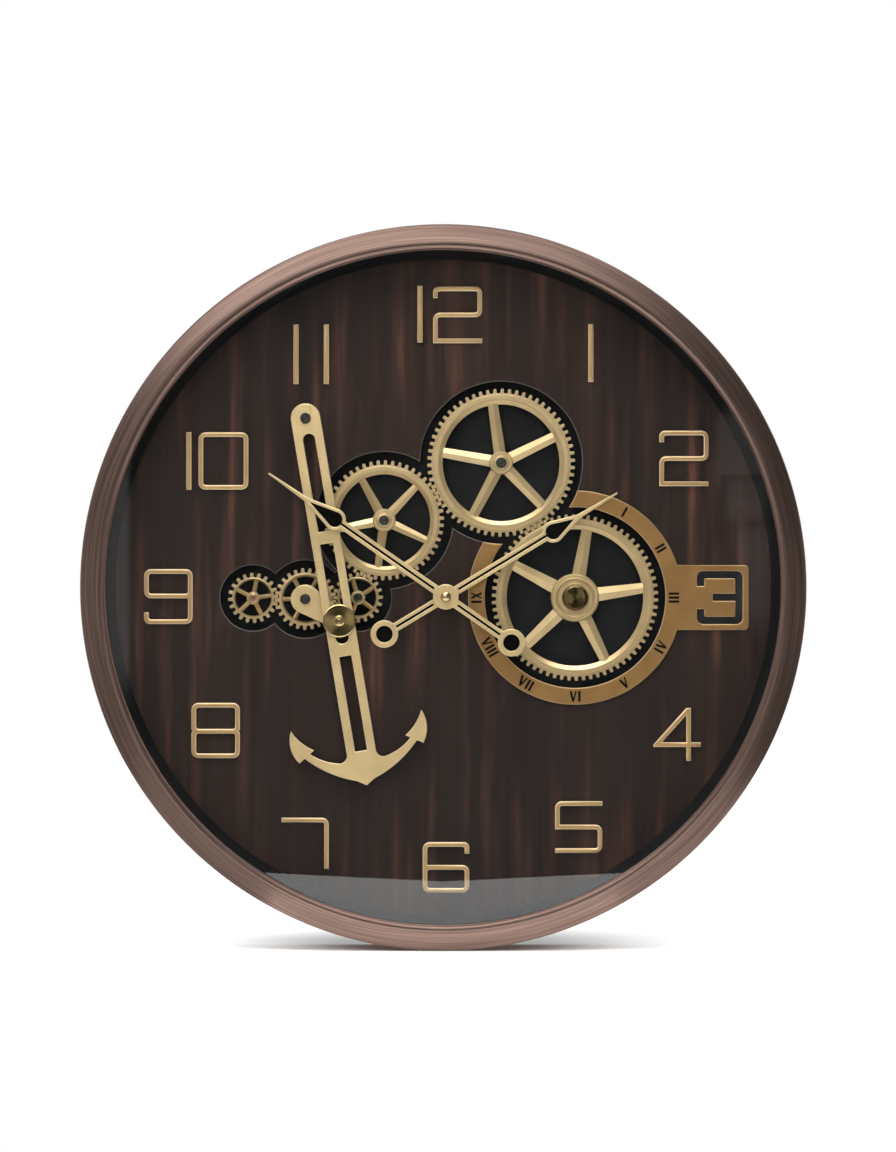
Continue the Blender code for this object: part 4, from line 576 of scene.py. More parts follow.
def mirrored(half):
    """A whole outline from its right half, which starts and ends on the y axis."""
    return half + [(-x, y) for x, y in half[::-1] if abs(x) > ON_AXIS]


def box_outline(low, high, corner=0.0):
    (x0, y0), (x1, y1) = low, high
    return rounded([(x0, y0, corner), (x1, y0, corner), (x1, y1, corner), (x0, y1, corner)])


def frame_outlines(low, high, corner, width):
    """The outer and inner edge of a frame of an even width."""
    (x0, y0), (x1, y1) = low, high
    inner = box_outline((x0 + width, y0 + width), (x1 - width, y1 - width), corner - width)
    return [box_outline(low, high, corner), inner]


def profile(corners, face):
    """Corners (radius, depth, rounding) in mm, with their depths measured from a face."""
    return [(radius * MM, face + depth * MM, rounding * MM) for radius, depth, rounding in corners]


def outward(start, corners):
    """A profile's corners whose radii are measured outwards from a radius."""
    return [(start + reach, depth, rounding) for reach, depth, rounding in corners]


# Where the frame has things


def axis_of(joint_name):
    """A joint's axis as a point of the board."""
    found = next(joint for joint in frame["joints"] if joint["name"] == joint_name)
    x, _, z = found["pos_m"]
    return x, z


def depths(node):
    """How far a node's back and front stand from the wall."""
    low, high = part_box(node)
    return -high.y, -low.y


def middle_of(node):
    low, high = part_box(node)
    return (low.x + high.x) / 2, (low.z + high.z) / 2


def radius_of(node):
    low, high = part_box(node)
    return (high.x - low.x) / 2


def gear_centre(name):
    return axis_of(f"{name}_spin")


def crank_pin():
    return polar(CRANK_RADIUS, CRANK_BEARING, gear_centre("small_centre_gear"))


# Shapes


def step_in(shape, inward, rise):
    """Draws the front faces in and moves them forward."""
    top = max(vert.co.z for vert in shape.verts) - SAME_PLACE
    fronts = [face for face in shape.faces if face.normal.z > FACING]
    crown = [face for face in fronts if face.calc_center_median().z > top]
    bmesh.ops.inset_region(shape, faces=crown, thickness=inward, depth=rise, use_even_offset=True)


def plate(outlines, back, front, edge=0.0, drop=None):
    """A flat piece: the first outline is its edge and the others are holes. Its front edges are rounded over
    a width of edge and a depth of drop."""
    drop = edge if drop is None else drop
    shape = bmesh.new()
    for outline in outlines:
        corners = [shape.verts.new((x, y, back)) for x, y in outline]
        for here, after in zip(corners, corners[1:] + corners[:1]):
            shape.edges.new((here, after))
    bmesh.ops.triangle_fill(shape, use_beauty=True, edges=shape.edges)
    grown = bmesh.ops.extrude_face_region(shape, geom=shape.faces[:])["geom"]
    risen = [item for item in grown if isinstance(item, bmesh.types.BMVert)]
    bmesh.ops.translate(shape, vec=(0, 0, front - back - drop), verts=risen)
    bmesh.ops.recalc_face_normals(shape, faces=shape.faces)
    if edge:
        for width, rise in EDGE_STEPS:
            step_in(shape, edge * width, drop * rise)
    return shape


def backed(outlines, back, front, edge=0.0, drop=None):
    """A plate whose rounded edges face the wall."""
    shape = plate(outlines, -front, -back, edge, drop)
    bmesh.ops.scale(shape, vec=(1, 1, -1), verts=shape.verts)
    bmesh.ops.reverse_faces(shape, faces=shape.faces)
    return shape


def crowned_plate(outlines, back, front, width, drop):
    """A piece of an even stroke whose front is rounded to each side of a narrow flat."""
    shape = plate(outlines, back, front - drop)
    turns = [math.radians(90 * step / CROWN_STEPS) for step in range(CROWN_STEPS + 1)]
    for here, after in zip(turns, turns[1:]):
        inward = width * (math.cos(here) - math.cos(after))
        step_in(shape, inward, drop * (math.sin(after) - math.sin(here)))
    return shape


def turned(corners, centre=(0.0, 0.0), segments=WHEEL_SEGMENTS):
    """A turned piece through corners (radius, depth, rounding). The profile closes on itself, or on the axis
    where its first and last corners lie there."""
    shape = bmesh.new()
    points = rounded(corners)
    row = [shape.verts.new((radius, 0, depth)) for radius, depth in points]
    for here, after in zip(row, row[1:]):
        shape.edges.new((here, after))
    if points[0][0] > 0 or points[-1][0] > 0:
        shape.edges.new((row[-1], row[0]))
    geometry = shape.verts[:] + shape.edges[:]
    turn = {"axis": (0, 0, 1), "cent": (0, 0, 0), "angle": math.tau, "steps": segments}
    bmesh.ops.spin(shape, geom=geometry, use_merge=True, **turn)
    bmesh.ops.remove_doubles(shape, verts=shape.verts, dist=SAME_PLACE)
    bmesh.ops.recalc_face_normals(shape, faces=shape.faces)
    bmesh.ops.translate(shape, vec=(*centre, 0), verts=shape.verts)
    return shape


def put(shape, other):
    """Adds another shape's mesh to this one."""
    scrap = bpy.data.meshes.new("scrap")
    other.to_mesh(scrap)
    other.free()
    shape.from_mesh(scrap)
    bpy.data.meshes.remove(scrap)
    return shape


def as_mesh(name, shape, finish):
    mesh = bpy.data.meshes.new(name)
    shape.to_mesh(mesh)
    shape.free()
    mesh.materials.append(finish)
    return mesh


def show(name, data):
    """A new object in the scene."""
    made = bpy.data.objects.new(name, data)
    bpy.context.scene.collection.objects.link(made)
    return made


def piece(name, shape, body, finish, stands_for=None):
    """Stands a finished shape up on the wall and lets it ride on its body."""
    bmesh.ops.transform(shape, matrix=STAND_UP, verts=shape.verts)
    mesh = as_mesh(name, shape, finish)
    mesh.shade_smooth()
    mesh.set_sharp_from_angle(angle=CREASE)
    for face in mesh.polygons:
        face.use_smooth = abs(face.normal.y) < FLAT_NORMAL
    made = show(name, mesh)
    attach(made, body)
    if stands_for:
        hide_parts(stands_for)


# Finishes


def add(tree, kind, inputs=None, **settings):
    """A node with its settings, and its inputs linked or set."""
    made = tree.nodes.new(kind)
    for name, value in settings.items():
        setattr(made, name, value)
    for name, value in (inputs or {}).items():
        if isinstance(value, bpy.types.NodeSocket):
            tree.links.new(value, made.inputs[name])
        else:
            made.inputs[name].default_value = value
    return made


def new_finish(name, **sockets):
    """A material with one Principled shader, its plain sockets set, and its node tree and shader."""
    finish = bpy.data.materials.new(name)
    finish.use_nodes = True
    tree = finish.node_tree
    shader = tree.nodes["Principled BSDF"]
    for socket, value in sockets.items():
        shader.inputs[socket.replace("_", " ")].default_value = value
    return finish, tree, shader


def place_of(tree, centre=(0.0, 0.0, 0.0), scale=(1.0, 1.0, 1.0)):
    """Object coordinates, centred and stretched."""
    where = add(tree, "ShaderNodeTexCoord")
    inputs = {"Vector": where.outputs["Object"], "Scale": scale}
    inputs["Location"] = [-c * s for c, s in zip(centre, scale)]
    return add(tree, "ShaderNodeMapping", inputs).outputs["Vector"]


def noise(tree, vector, scale, detail=2.0, roughness=0.5):
    inputs = {"Vector": vector, "Scale": scale, "Detail": detail, "Roughness": roughness}
    return add(tree, "ShaderNodeTexNoise", inputs).outputs["Fac"]


def ramp(tree, value, stops):
    """A colour ramp through (position, colour) stops."""
    made = add(tree, "ShaderNodeValToRGB", {"Fac": value})
    points = made.color_ramp.elements
    while len(points) < len(stops):
        points.new(0.5)
    for point, (position, colour) in zip(points, stops):
        point.position = position
        point.color = (*colour, 1)
    return made.outputs["Color"]


def between(tree, value, first, second, start=0.3, end=0.7):
    """A colour between two colours or two levels of grey."""
    if isinstance(first, float):
        first, second = [first] * 3, [second] * 3
    return ramp(tree, value, [(start, first), (end, second)])


def spread(tree, value, low, high, start=0.0, end=1.0, curve="LINEAR"):
    """A value from start to end spread between low and high."""
    inputs = {"Value": value, "From Min": start, "From Max": end, "To Min": low, "To Max": high}
    return add(tree, "ShaderNodeMapRange", inputs, interpolation_type=curve).outputs["Result"]


def maths(tree, way, first, second=0.0):
    return add(tree, "ShaderNodeMath", {0: first, 1: second}, operation=way).outputs["Value"]


def vector_maths(tree, way, first, second=(0.0, 0.0, 0.0)):
    made = add(tree, "ShaderNodeVectorMath", {0: first, 1: second}, operation=way)
    return made.outputs["Value" if way == "LENGTH" else "Vector"]


def dress(tree, shader, colour, texture, rough, lift, reach):
    """Gives a shader its colour, and a texture that spreads its roughness and lifts its surface."""
    tree.links.new(colour, shader.inputs["Base Color"])
    tree.links.new(spread(tree, texture, *rough), shader.inputs["Roughness"])
    bump = add(tree, "ShaderNodeBump", {"Height": texture, "Strength": lift, "Distance": reach})
    tree.links.new(bump.outputs["Normal"], shader.inputs["Normal"])


def on_edges(tree):
    """1 on the edges of a flat piece, which face neither front nor back, and 0 on its flats. Paler edges with
    a painted highlight go there.
    """
    facing = add(tree, "ShaderNodeTexCoord").outputs["Normal"]
    front = add(tree, "ShaderNodeSeparateXYZ", {"Vector": facing}).outputs["Y"]
    return spread(tree, maths(tree, "ABSOLUTE", front), 0.0, 1.0, EDGE_FLAT, EDGE_STEEP, "SMOOTHSTEP")


def blended(tree, first, second, share, way="MIX"):
    """Two colours mixed, added or multiplied, by a share that is a number or a socket."""
    mixed = add(tree, "ShaderNodeMix", {"Factor": share}, data_type="RGBA", blend_type=way)
    for name, colour in (("A", first), ("B", second)):
        socket = next(s for s in mixed.inputs if s.name == name and s.type == "RGBA")
        if isinstance(colour, bpy.types.NodeSocket):
            tree.links.new(colour, socket)
        else:
            socket.default_value = (*colour, 1)
    return next(s for s in mixed.outputs if s.type == "RGBA")


def turned_streaks(tree, centre, lengthwise, across):
    """Noise drawn out round an axis along Y: long round it, fine across it."""
    flat = add(tree, "ShaderNodeSeparateXYZ", {"Vector": place_of(tree, centre)}).outputs
    plane = add(tree, "ShaderNodeCombineXYZ", {"X": flat["X"], "Z": flat["Z"]}).outputs["Vector"]
    round_it = vector_maths(tree, "MULTIPLY", vector_maths(tree, "NORMALIZE", plane), [lengthwise] * 3)
    radius = maths(tree, "MULTIPLY", vector_maths(tree, "LENGTH", plane), across)
    outward = add(tree, "ShaderNodeCombineXYZ", {"Y": radius}).outputs["Vector"]
    place = vector_maths(tree, "ADD", round_it, outward)
    inputs = {"Vector": place, "W": maths(tree, "MULTIPLY", flat["Y"], across), "Scale": 1.0, "Detail": 3.0}
    return add(tree, "ShaderNodeTexNoise", inputs, noise_dimensions="4D").outputs["Fac"]


def antique_copper(centre):
    """Brushed round the ring, rose-brown with greyer streaks."""
    finish, tree, shader = new_finish("antique copper", Metallic=1.0)
    broad = turned_streaks(tree, centre, 2.6, 700.0)
    fine = turned_streaks(tree, centre, 3.6, 1700.0)
    stops = [(0.3, (0.225, 0.15, 0.122)), (0.5, (0.31, 0.205, 0.168)), (0.7, (0.375, 0.255, 0.212))]
    colour = blended(tree, ramp(tree, broad, stops), between(tree, fine, 0.66, 1.2), 1.0, "MULTIPLY")
    dress(tree, shader, colour, fine, (0.36, 0.5), 0.1, 0.00015)
    return finish


def satin_metal(name, first, second, roughness, metallic, edge):
    """Sheet metal, finely brushed up and down, with a faint mottle, and with a painted highlight on its
    edges, paler and less metallic, where a highlight colour is given."""
    finish, tree, shader = new_finish(name, Metallic=metallic)
    mottle = noise(tree, place_of(tree), 70.0, 3.0)
    brush = noise(tree, place_of(tree, scale=(900.0, 900.0, 90.0)), 1.0, 2.0)
    colour = between(tree, mottle, first, second)
    # Painted highlight: the edges are paler and less metallic, so that they look lit
    if edge:
        rim = on_edges(tree)
        colour = blended(tree, colour, edge, rim)
        tree.links.new(spread(tree, rim, metallic, HIGHLIGHT_METALLIC), shader.inputs["Metallic"])
    dress(tree, shader, colour, brush, (roughness - 0.06, roughness + 0.06), 0.06, 0.00008)
    return finish


def dark_steel(centre):
    """Steel with the fine rings that a lathe leaves round its axis."""
    finish, tree, shader = new_finish("dark steel", Metallic=0.9)
    rings = turned_streaks(tree, centre, 0.8, 3200.0)
    colour = between(tree, rings, (0.035, 0.032, 0.03), (0.09, 0.085, 0.08))
    dress(tree, shader, colour, rings, (0.28, 0.42), 0.15, 0.0001)
    return finish


def spun_bronze(name, first, second, centre):
    """Dark bronze, turned so finely that it shines in rays from its centre."""
    finish, tree, shader = new_finish(name, Metallic=1.0, Roughness=0.3, Anisotropic=0.85)
    rings = turned_streaks(tree, centre, 0.6, 1500.0)
    tree.links.new(between(tree, rings, first, second), shader.inputs["Base Color"])
    lay = add(tree, "ShaderNodeTangent", direction_type="RADIAL", axis="Y")
    tree.links.new(lay.outputs["Tangent"], shader.inputs["Tangent"])
    return finish


def dark_wood():
    """Near-black boards with soft reddish streaks that run up and down, and paler edges that are partly the
    board's cut edge and partly a painted highlight.
    """
    finish, tree, shader = new_finish("dark wood", Specular_IOR_Level=0.14)
    boards = noise(tree, place_of(tree, scale=(16.0, 16.0, 2.0)), 1.0)
    streaks = noise(tree, place_of(tree, scale=(105.0, 105.0, 7.0)), 1.0, 3.0, 0.55)
    grain = noise(tree, place_of(tree, scale=(230.0, 230.0, 7.0)), 1.0)
    clouds = noise(tree, place_of(tree, scale=(18.0, 18.0, 8.0)), 1.0, 1.0)
    shade = between(tree, boards, (0.0125, 0.0086, 0.0078), (0.0255, 0.0144, 0.0112))
    stops = [(0.48, (0.0, 0.0, 0.0)), (0.6, (0.024, 0.0088, 0.0058)), (0.76, (0.112, 0.042, 0.027))]
    patches = between(tree, clouds, 0.1, 1.0, 0.36, 0.58)
    red = blended(tree, ramp(tree, streaks, stops), patches, 1.0, "MULTIPLY")
    ground = blended(tree, shade, red, 1.0, "ADD")
    face = blended(tree, ground, between(tree, grain, 0.82, 1.16), 1.0, "MULTIPLY")
    # The paler edges: partly the board's cut edge, partly a painted highlight
    colour = blended(tree, face, (0.2, 0.18, 0.168), on_edges(tree))
    dress(tree, shader, colour, grain, (0.42, 0.56), 0.04, 0.0001)
    return finish


def moulded(name, colour, roughness, fineness, lift, gloss):
    """Moulded plastic, enamel or print with a fine texture."""
    finish, tree, shader = new_finish(name, Specular_IOR_Level=gloss)
    texture = noise(tree, place_of(tree), fineness, 3.0)
    tones = [[channel * share for channel in colour] for share in (0.85, 1.15)]
    colour = between(tree, texture, *tones, 0.35, 0.65)
    dress(tree, shader, colour, texture, (roughness - 0.06, roughness + 0.06), lift, 0.0001)
    return finish


def hardboard():
    """Grey fibreboard: short fibres up, down and across over a faint cloudiness."""
    finish, tree, shader = new_finish("hardboard", Specular_IOR_Level=0.3)
    clouds = noise(tree, place_of(tree), 14.0, 3.0)
    fibres = noise(tree, place_of(tree, scale=(900.0, 900.0, 240.0)), 1.0, 3.0, 0.6)
    across = noise(tree, place_of(tree, scale=(240.0, 240.0, 900.0)), 1.0, 3.0, 0.6)
    colour = between(tree, clouds, (0.072, 0.064, 0.056), (0.104, 0.094, 0.084))
    for streak in (fibres, across):
        colour = blended(tree, colour, between(tree, streak, 0.7, 1.3, 0.32, 0.68), 1.0, "MULTIPLY")
    dress(tree, shader, colour, fibres, (0.6, 0.8), 0.3, 0.0002)
    return finish


def clear_glass():
    """Window glass. Lamps and soft light pass straight through it, and the eye sees its reflections."""
    sockets = {"Base_Color": (0.97, 0.985, 0.98, 1), "Roughness": 0.0, "IOR": 1.48}
    finish, tree, shader = new_finish("clear glass", Transmission_Weight=1.0, **sockets)
    ray = add(tree, "ShaderNodeLightPath").outputs
    straight = maths(tree, "MAXIMUM", ray["Is Shadow Ray"], ray["Is Diffuse Ray"])
    through = add(tree, "ShaderNodeBsdfTransparent", {"Color": (0.95, 0.965, 0.96, 1)})
    mix = add(tree, "ShaderNodeMixShader", {"Fac": straight})
    tree.links.new(shader.outputs["BSDF"], mix.inputs[1])
    tree.links.new(through.outputs["BSDF"], mix.inputs[2])
    tree.links.new(mix.outputs["Shader"], tree.nodes["Material Output"].inputs["Surface"])
    return finish


# Case, glass and dial


def case_corners():
    """The case's profile: bore, lip, crown, sloping front, shoulder and straight side."""
    back, front = depths("case_ring")
    outer = radius_of("case_ring")
    crown = outer - CROWN_INSET
    lip_back, lip_front = front - CROWN_HEIGHT, front - LIP_EDGE
    corners = [(CASE_BORE, back, 0), (CASE_BORE, lip_back, 0), (LIP_RADIUS, lip_back, FINE)]
    corners += [(LIP_RADIUS, lip_front, SOFT), (LIP_RADIUS + LIP_EDGE, lip_front, FINE)]
    corners.append((crown - CROWN_LEAD[0], front - CROWN_LEAD[1], 0))
    slope = outer - EDGE_ROUND - crown
    for step in range(SLOPE_STEPS + 1):
        share = step / SLOPE_STEPS
        corners.append((crown + slope * share, front - SLOPE_DROP * share**SLOPE_CURVE, 0))
    start = math.radians(SHOULDER_START)
    for step in range(1, SHOULDER_STEPS + 1):
        turn = start + (math.pi / 2 - start) * step / SHOULDER_STEPS
        out = (math.sin(turn) - math.sin(start)) / (1 - math.sin(start))
        down = 1 - math.cos(turn) / math.cos(start)
        drop = SLOPE_DROP + (SHOULDER_DROP - SLOPE_DROP) * down
        corners.append((outer - EDGE_ROUND * (1 - out), front - drop, 0))
    return corners + [(outer, back, CASE_FOOT_EDGE)]


def make_case(copper, glass, black):
    back, front = depths("glass_pane")
    pane = [(0, back, 0), (PANE_RADIUS, back, GLASS_EDGE), (PANE_RADIUS, front, GLASS_EDGE), (0, front, 0)]
    back, front = depths("spacer_ring")
    spacer = [
        (PANE_RADIUS, back, 0),
        (PANE_RADIUS, front, 0),
        (SPACER_FRONT_RADIUS, front, SPACER_EDGES[0]),
        (SPACER_FOOT_RADIUS, back + SPACER_FOOT_HEIGHT, SPACER_EDGES[1]),
        (SPACER_FOOT_RADIUS, back, 0),
    ]
    for node, ending, corners, slot, finish in (
        ("case_ring", "turned", case_corners(), "antique_copper", copper),
        ("glass_pane", "round", pane, "clear_glass", glass),
        ("spacer_ring", "turned", spacer, "black_plastic", black),
    ):
        shape = turned(corners, middle_of("case_ring"), RING_SEGMENTS)
        piece(f"{node}_{ending}", shape, "case", finish, node)


def gear_radius(teeth):
    return teeth * MODULE / 2


def window_radius(name):
    return gear_radius(GEARS[name].teeth) + ADDENDUM * MODULE + GEARS[name].margin * MM


def make_dial(wood):
    back, front = depths("dial_panel")
    windows = [(gear_centre(name), window_radius(name)) for name in GEARS]
    outlines = [circle(middle_of("dial_panel"), PANE_RADIUS, RING_SEGMENTS), outline_of_union(windows)]
    outlines += [hole(axis_of("minute_turn"), BUSH_HOLE), hole(axis_of("anchor_swing"), PIVOT_HOLE)]
    piece("dial_panel_cut", plate(outlines, back, front, DIAL_EDGE), "case", wood, "dial_panel")


def three_outline():
    """The 3 that is cut out of the tab."""
    (w, h), s = THREE_SIZE, THREE_STROKE
    inner = THREE_CORNER / 3
    bar_low, bar_high = THREE_BAR_RISE - s / 2, THREE_BAR_RISE + s / 2
    corners = [
        (0, 0, THREE_CORNER),
        (w, 0, THREE_CORNER),
        (w, h, THREE_CORNER),
        (0, h, THREE_CORNER),
        (0, h - THREE_HOOK, 0),
        (s, h - THREE_HOOK, 0),
        (s, h - s, inner),
        (w - s, h - s, inner),
        (w - s, bar_high, 0),
        (THREE_BAR_START, bar_high, 0),
        (THREE_BAR_START, bar_low, 0),
        (w - s, bar_low, 0),
        (w - s, s, inner),
        (s, s, inner),
        (s, THREE_HOOK, 0),
        (0, THREE_HOOK, 0),
    ]
    return moved(rounded(corners), (TAB_REACH - THREE_MARGIN - w, -h / 2))


def make_tab_dark_sheet(black):
    """A black sheet behind the 3, so that the cut of the 3 looks black."""
    right = TAB_REACH - THREE_MARGIN + DARK_SHEET_MARGIN
    left = TAB_REACH - THREE_MARGIN - THREE_SIZE[0] - DARK_SHEET_MARGIN
    top = THREE_SIZE[1] / 2 + DARK_SHEET_MARGIN
    outline = moved(box_outline((left, -top), (right, top)), gear_centre("right_gear"))
    back = depths("dial_panel")[1] + DARK_SHEET_GAP
    front = depths("subdial_ring")[0] - DARK_SHEET_GAP
    piece("tab_dark_sheet", plate([outline], back, front), "case", black)


def make_subdial(bronze):
    """The C-shaped plate round the right gear, cut back round the upper window, with its tab."""
    centre = gear_centre("right_gear")
    upper = gear_centre("upper_gear")
    window = window_radius("upper_gear")
    inner = window_radius("right_gear")
    outer = inner + SUBDIAL_WIDTH
    way, outer_spread = crossing(centre, outer, upper, window)
    _, inner_spread = crossing(centre, inner, upper, window)
    local = (upper[0] - centre[0], upper[1] - centre[1])
    half = TAB_HEIGHT / 2
    tab = math.degrees(math.asin(half / outer))
    origin = (0.0, 0.0)

    def trim(start, end):
        """The concave end, along the upper window's edge."""
        first = bearing(local, start)
        sweep = (bearing(local, end) - first + 180) % 360 - 180
        return arc(local, window, first, first + sweep)[1:-1]

    outside = arc(origin, outer, way + outer_spread - 360, -tab)
    corners = [(0, -half, 0), (TAB_REACH, -half, TAB_CORNER), (TAB_REACH, half, TAB_CORNER), (0, half, 0)]
    outside += rounded(corners)[1:-1]
    outside += arc(origin, outer, tab, way - outer_spread)
    inside = arc(origin, inner, way - inner_spread, way + inner_spread - 360)
    outline = outside + trim(outside[-1], inside[0]) + inside + trim(inside[-1], outside[0])
    outlines = [moved(edge, centre) for edge in (outline, three_outline())]
    back, front = depths("subdial_ring")
    shape = plate(outlines, back, front, SUBDIAL_EDGE)
    piece("subdial_ring_cut", shape, "case", bronze, "subdial_ring")


def roman_glyph(letter):
    """The strokes of a Roman letter as outlines, standing on y = 0 with its left edge at x = 0."""
    wide, high = ROMAN_ADVANCE[letter] - ROMAN_GAP, ROMAN_HEIGHT
    if letter == "I":
        left, right = (wide - ROMAN_THICK) / 2, (wide + ROMAN_THICK) / 2
        return [box_outline((left, 0), (right, high))]

    def slant(foot, head, thick):
        side = thick / 2
        return [(foot - side, 0), (foot + side, 0), (head + side, high), (head - side, high)]

    if letter == "V":
        left, right = ROMAN_THICK / 2, wide - ROMAN_THIN / 2
        middle = wide / 2
        return [slant(middle, left, ROMAN_THICK), slant(middle, right, ROMAN_THIN)]
    left, right = ROMAN_THICK / 2, wide - ROMAN_THICK / 2
    return [slant(right, left, ROMAN_THICK), slant(left, right, ROMAN_THIN)]


def make_romans(ink):
    centre = gear_centre("right_gear")
    front = depths("subdial_ring")[1]
    radius = window_radius("right_gear") + SUBDIAL_WIDTH / 2
    for hour, letters in enumerate(ROMANS, 1):
        width = sum(ROMAN_ADVANCE[letter] for letter in letters) - ROMAN_GAP
        clockwise = 30 * hour
        feet_out = 90 < clockwise < 270
        turn = 180 - clockwise if feet_out else -clockwise
        place = polar(radius, 90 - clockwise, centre)
        shape = bmesh.new()
        reach = -width / 2
        for letter in letters:
            for level, stroke in enumerate(roman_glyph(letter)):
                outline = swung(moved(stroke, (reach, -ROMAN_HEIGHT / 2)), turn)
                rise = front + PRINT_THICKNESS * (1 + PRINT_STEP * level)
                put(shape, plate([moved(outline, place)], front + PRINT_GAP, rise))
            reach += ROMAN_ADVANCE[letter]
        piece(f"roman_{hour}", shape, "case", ink)


# Raised numerals


def numeral_outlines(name, w, h, middle):
    """The edge of a numeral in a box of width w and height h, then its holes. Its strokes are s wide, and
    their middle lines have corners of radius r."""
    s, r = STROKE, STROKE_CORNER
    left, right, low, high = s / 2, w - s / 2, s / 2, h - s / 2
    outer, inner = r + s / 2, max(r - s / 2, LEAST_CORNER)
    two = [(left, h - HOOK, 0), (left, high, r), (right, high, r), (right, middle, r), (left, middle, r)]
    two += [(left, low, 0), (w, low, 0)]
    five = [(w, high, 0), (left, high, r), (left, middle, 0)]
    five += [(right, middle, r), (right, low, r), (0, low, 0)]
    strokes = {
        "numeral_2": two,
        "numeral_12_two": two,
        "numeral_5": five,
        "numeral_7": [(0, high, 0), (right, high, r), (right, 0, 0)],
    }
    if name in strokes:
        return [ribbon(strokes[name], s)]
    if name == "numeral_10_zero":
        return [box_outline((0, 0), (w, h), outer), box_outline((s, s), (w - s, h - s), inner)]
    if name in ("numeral_6", "numeral_9"):
        edge = [
            (0, 0, outer),
            (w, 0, outer),
            (w, middle + s / 2, outer),
            (s, middle + s / 2, 0),
            (s, h - s, inner),
            (w - s, h - s, inner),
            (w - s, h - HOOK, 0),
            (w, h - HOOK, 0),
            (w, h, outer),
            (0, h, outer),
        ]
        outlines = [rounded(edge), box_outline((s, s), (w - s, middle - s / 2), inner)]
        if name == "numeral_6":
            return outlines
        return [[(w - x, h - y) for x, y in outline] for outline in outlines]
    if name == "numeral_8":
        below, above = middle - WAIST, middle + WAIST
        edge = [(0, 0, outer), (w, 0, outer), (w, below, 0), (w - WAIST, middle, 0), (w, above, 0)]
        edge += [(w, h, outer), (0, h, outer), (0, above, 0), (WAIST, middle, 0), (0, below, 0)]
        lower = box_outline((s, s), (w - s, middle - s / 2), inner)
        return [rounded(edge), lower, box_outline((s, middle + s / 2), (w - s, h - s), inner)]
    if name == "numeral_4":
        return four_outlines(w, h, middle)
    return [box_outline((0, 0), (w, h))]


def four_outlines(w, h, bar):
    """The 4: a stem, a bar across it and a slanting stroke from the stem's top to the bar's left end."""
    s = STROKE
    stem = w - FOUR_STEM_INSET - s
    slope = Vector((stem, h - bar)).normalized()
    low, high = bar - s / 2, bar + s / 2
    edge = [
        (0, low),
        (stem, low),
        (stem, 0),
        (stem + s, 0),
        (stem + s, low),
        (w, low),
        (w, high),
        (stem + s, high),
        (stem + s, h),
        (stem, h),
        (0, h - stem * slope.y / slope.x),
    ]
    tall = h - s / slope.x
    reach = stem - (tall - high) * slope.x / slope.y
    return [edge, [(reach, high), (stem, high), (stem, tall)]]


def make_numerals(gold):
    for name in NUMERALS:
        low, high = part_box(name)
        back, front = depths(name)
        middle = MIDDLE_BARS.get(name, 0.0)
        outlines = numeral_outlines(name, high.x - low.x, high.z - low.z, middle)
        outlines = [moved(outline, (low.x, low.z)) for outline in outlines]
        shape = crowned_plate(outlines, back, front, STROKE_CROWN, STROKE_DROP)
        piece(f"{name}_crowned", shape, "case", gold, name)


# Gear train


def gear_phases():
    """The bearing of one tooth of each gear, so that every pair is in mesh."""
    phases = {"upper_gear": UPPER_GEAR_PHASE}
    for name, gear in GEARS.items():
        if gear.neighbour:
            way = bearing(gear_centre(gear.neighbour), gear_centre(name))
            share = (way - phases[gear.neighbour]) / (360 / GEARS[gear.neighbour].teeth) % 1
            phases[name] = way + 180 - (0.5 - share) * 360 / gear.teeth
    return phases


def toothed_outline(teeth, phase, module=MODULE):
    """A gear's edge, with rounded tips."""
    root = teeth * module / 2 - DEDENDUM * module
    tip = teeth * module / 2 + ADDENDUM * module
    shoulder = tip - TIP_ROUND * module
    at_shoulder = TIP_WIDTH + (ROOT_WIDTH - TIP_WIDTH) * (tip - shoulder) / (tip - root)
    half = [(root, -ROOT_WIDTH), (shoulder, -at_shoulder)]
    half += [(tip - drop * module, -TIP_WIDTH * share) for drop, share in TIP_CORNERS]
    tooth = half + [(radius, -width) for radius, width in half[::-1]]
    outline = []
    for number in range(teeth):
        middle = phase + 360 * number / teeth
        for radius, width in tooth:
            outline.append(polar(radius, middle + math.degrees(width * module / 2 / radius)))
    return outline


def spoke(start, end, width_in, width_out, back, eaves, ridge):
    """A roofed bar along the board's x axis, from a narrow section at the hub to one at the rim."""
    shape = bmesh.new()
    half = width_in / 2
    section = [(-half, back), (half, back), (half, eaves), (0, ridge), (-half, eaves)]
    face = shape.faces.new([shape.verts.new((start, y, z)) for y, z in section])
    grown = bmesh.ops.extrude_face_region(shape, geom=[face])["geom"]
    far = [item for item in grown if isinstance(item, bmesh.types.BMVert)]
    bmesh.ops.translate(shape, vec=(end - start, 0, 0), verts=far)
    bmesh.ops.scale(shape, vec=(1, width_out / width_in, 1), verts=far)
    bmesh.ops.recalc_face_normals(shape, faces=shape.faces)
    return shape


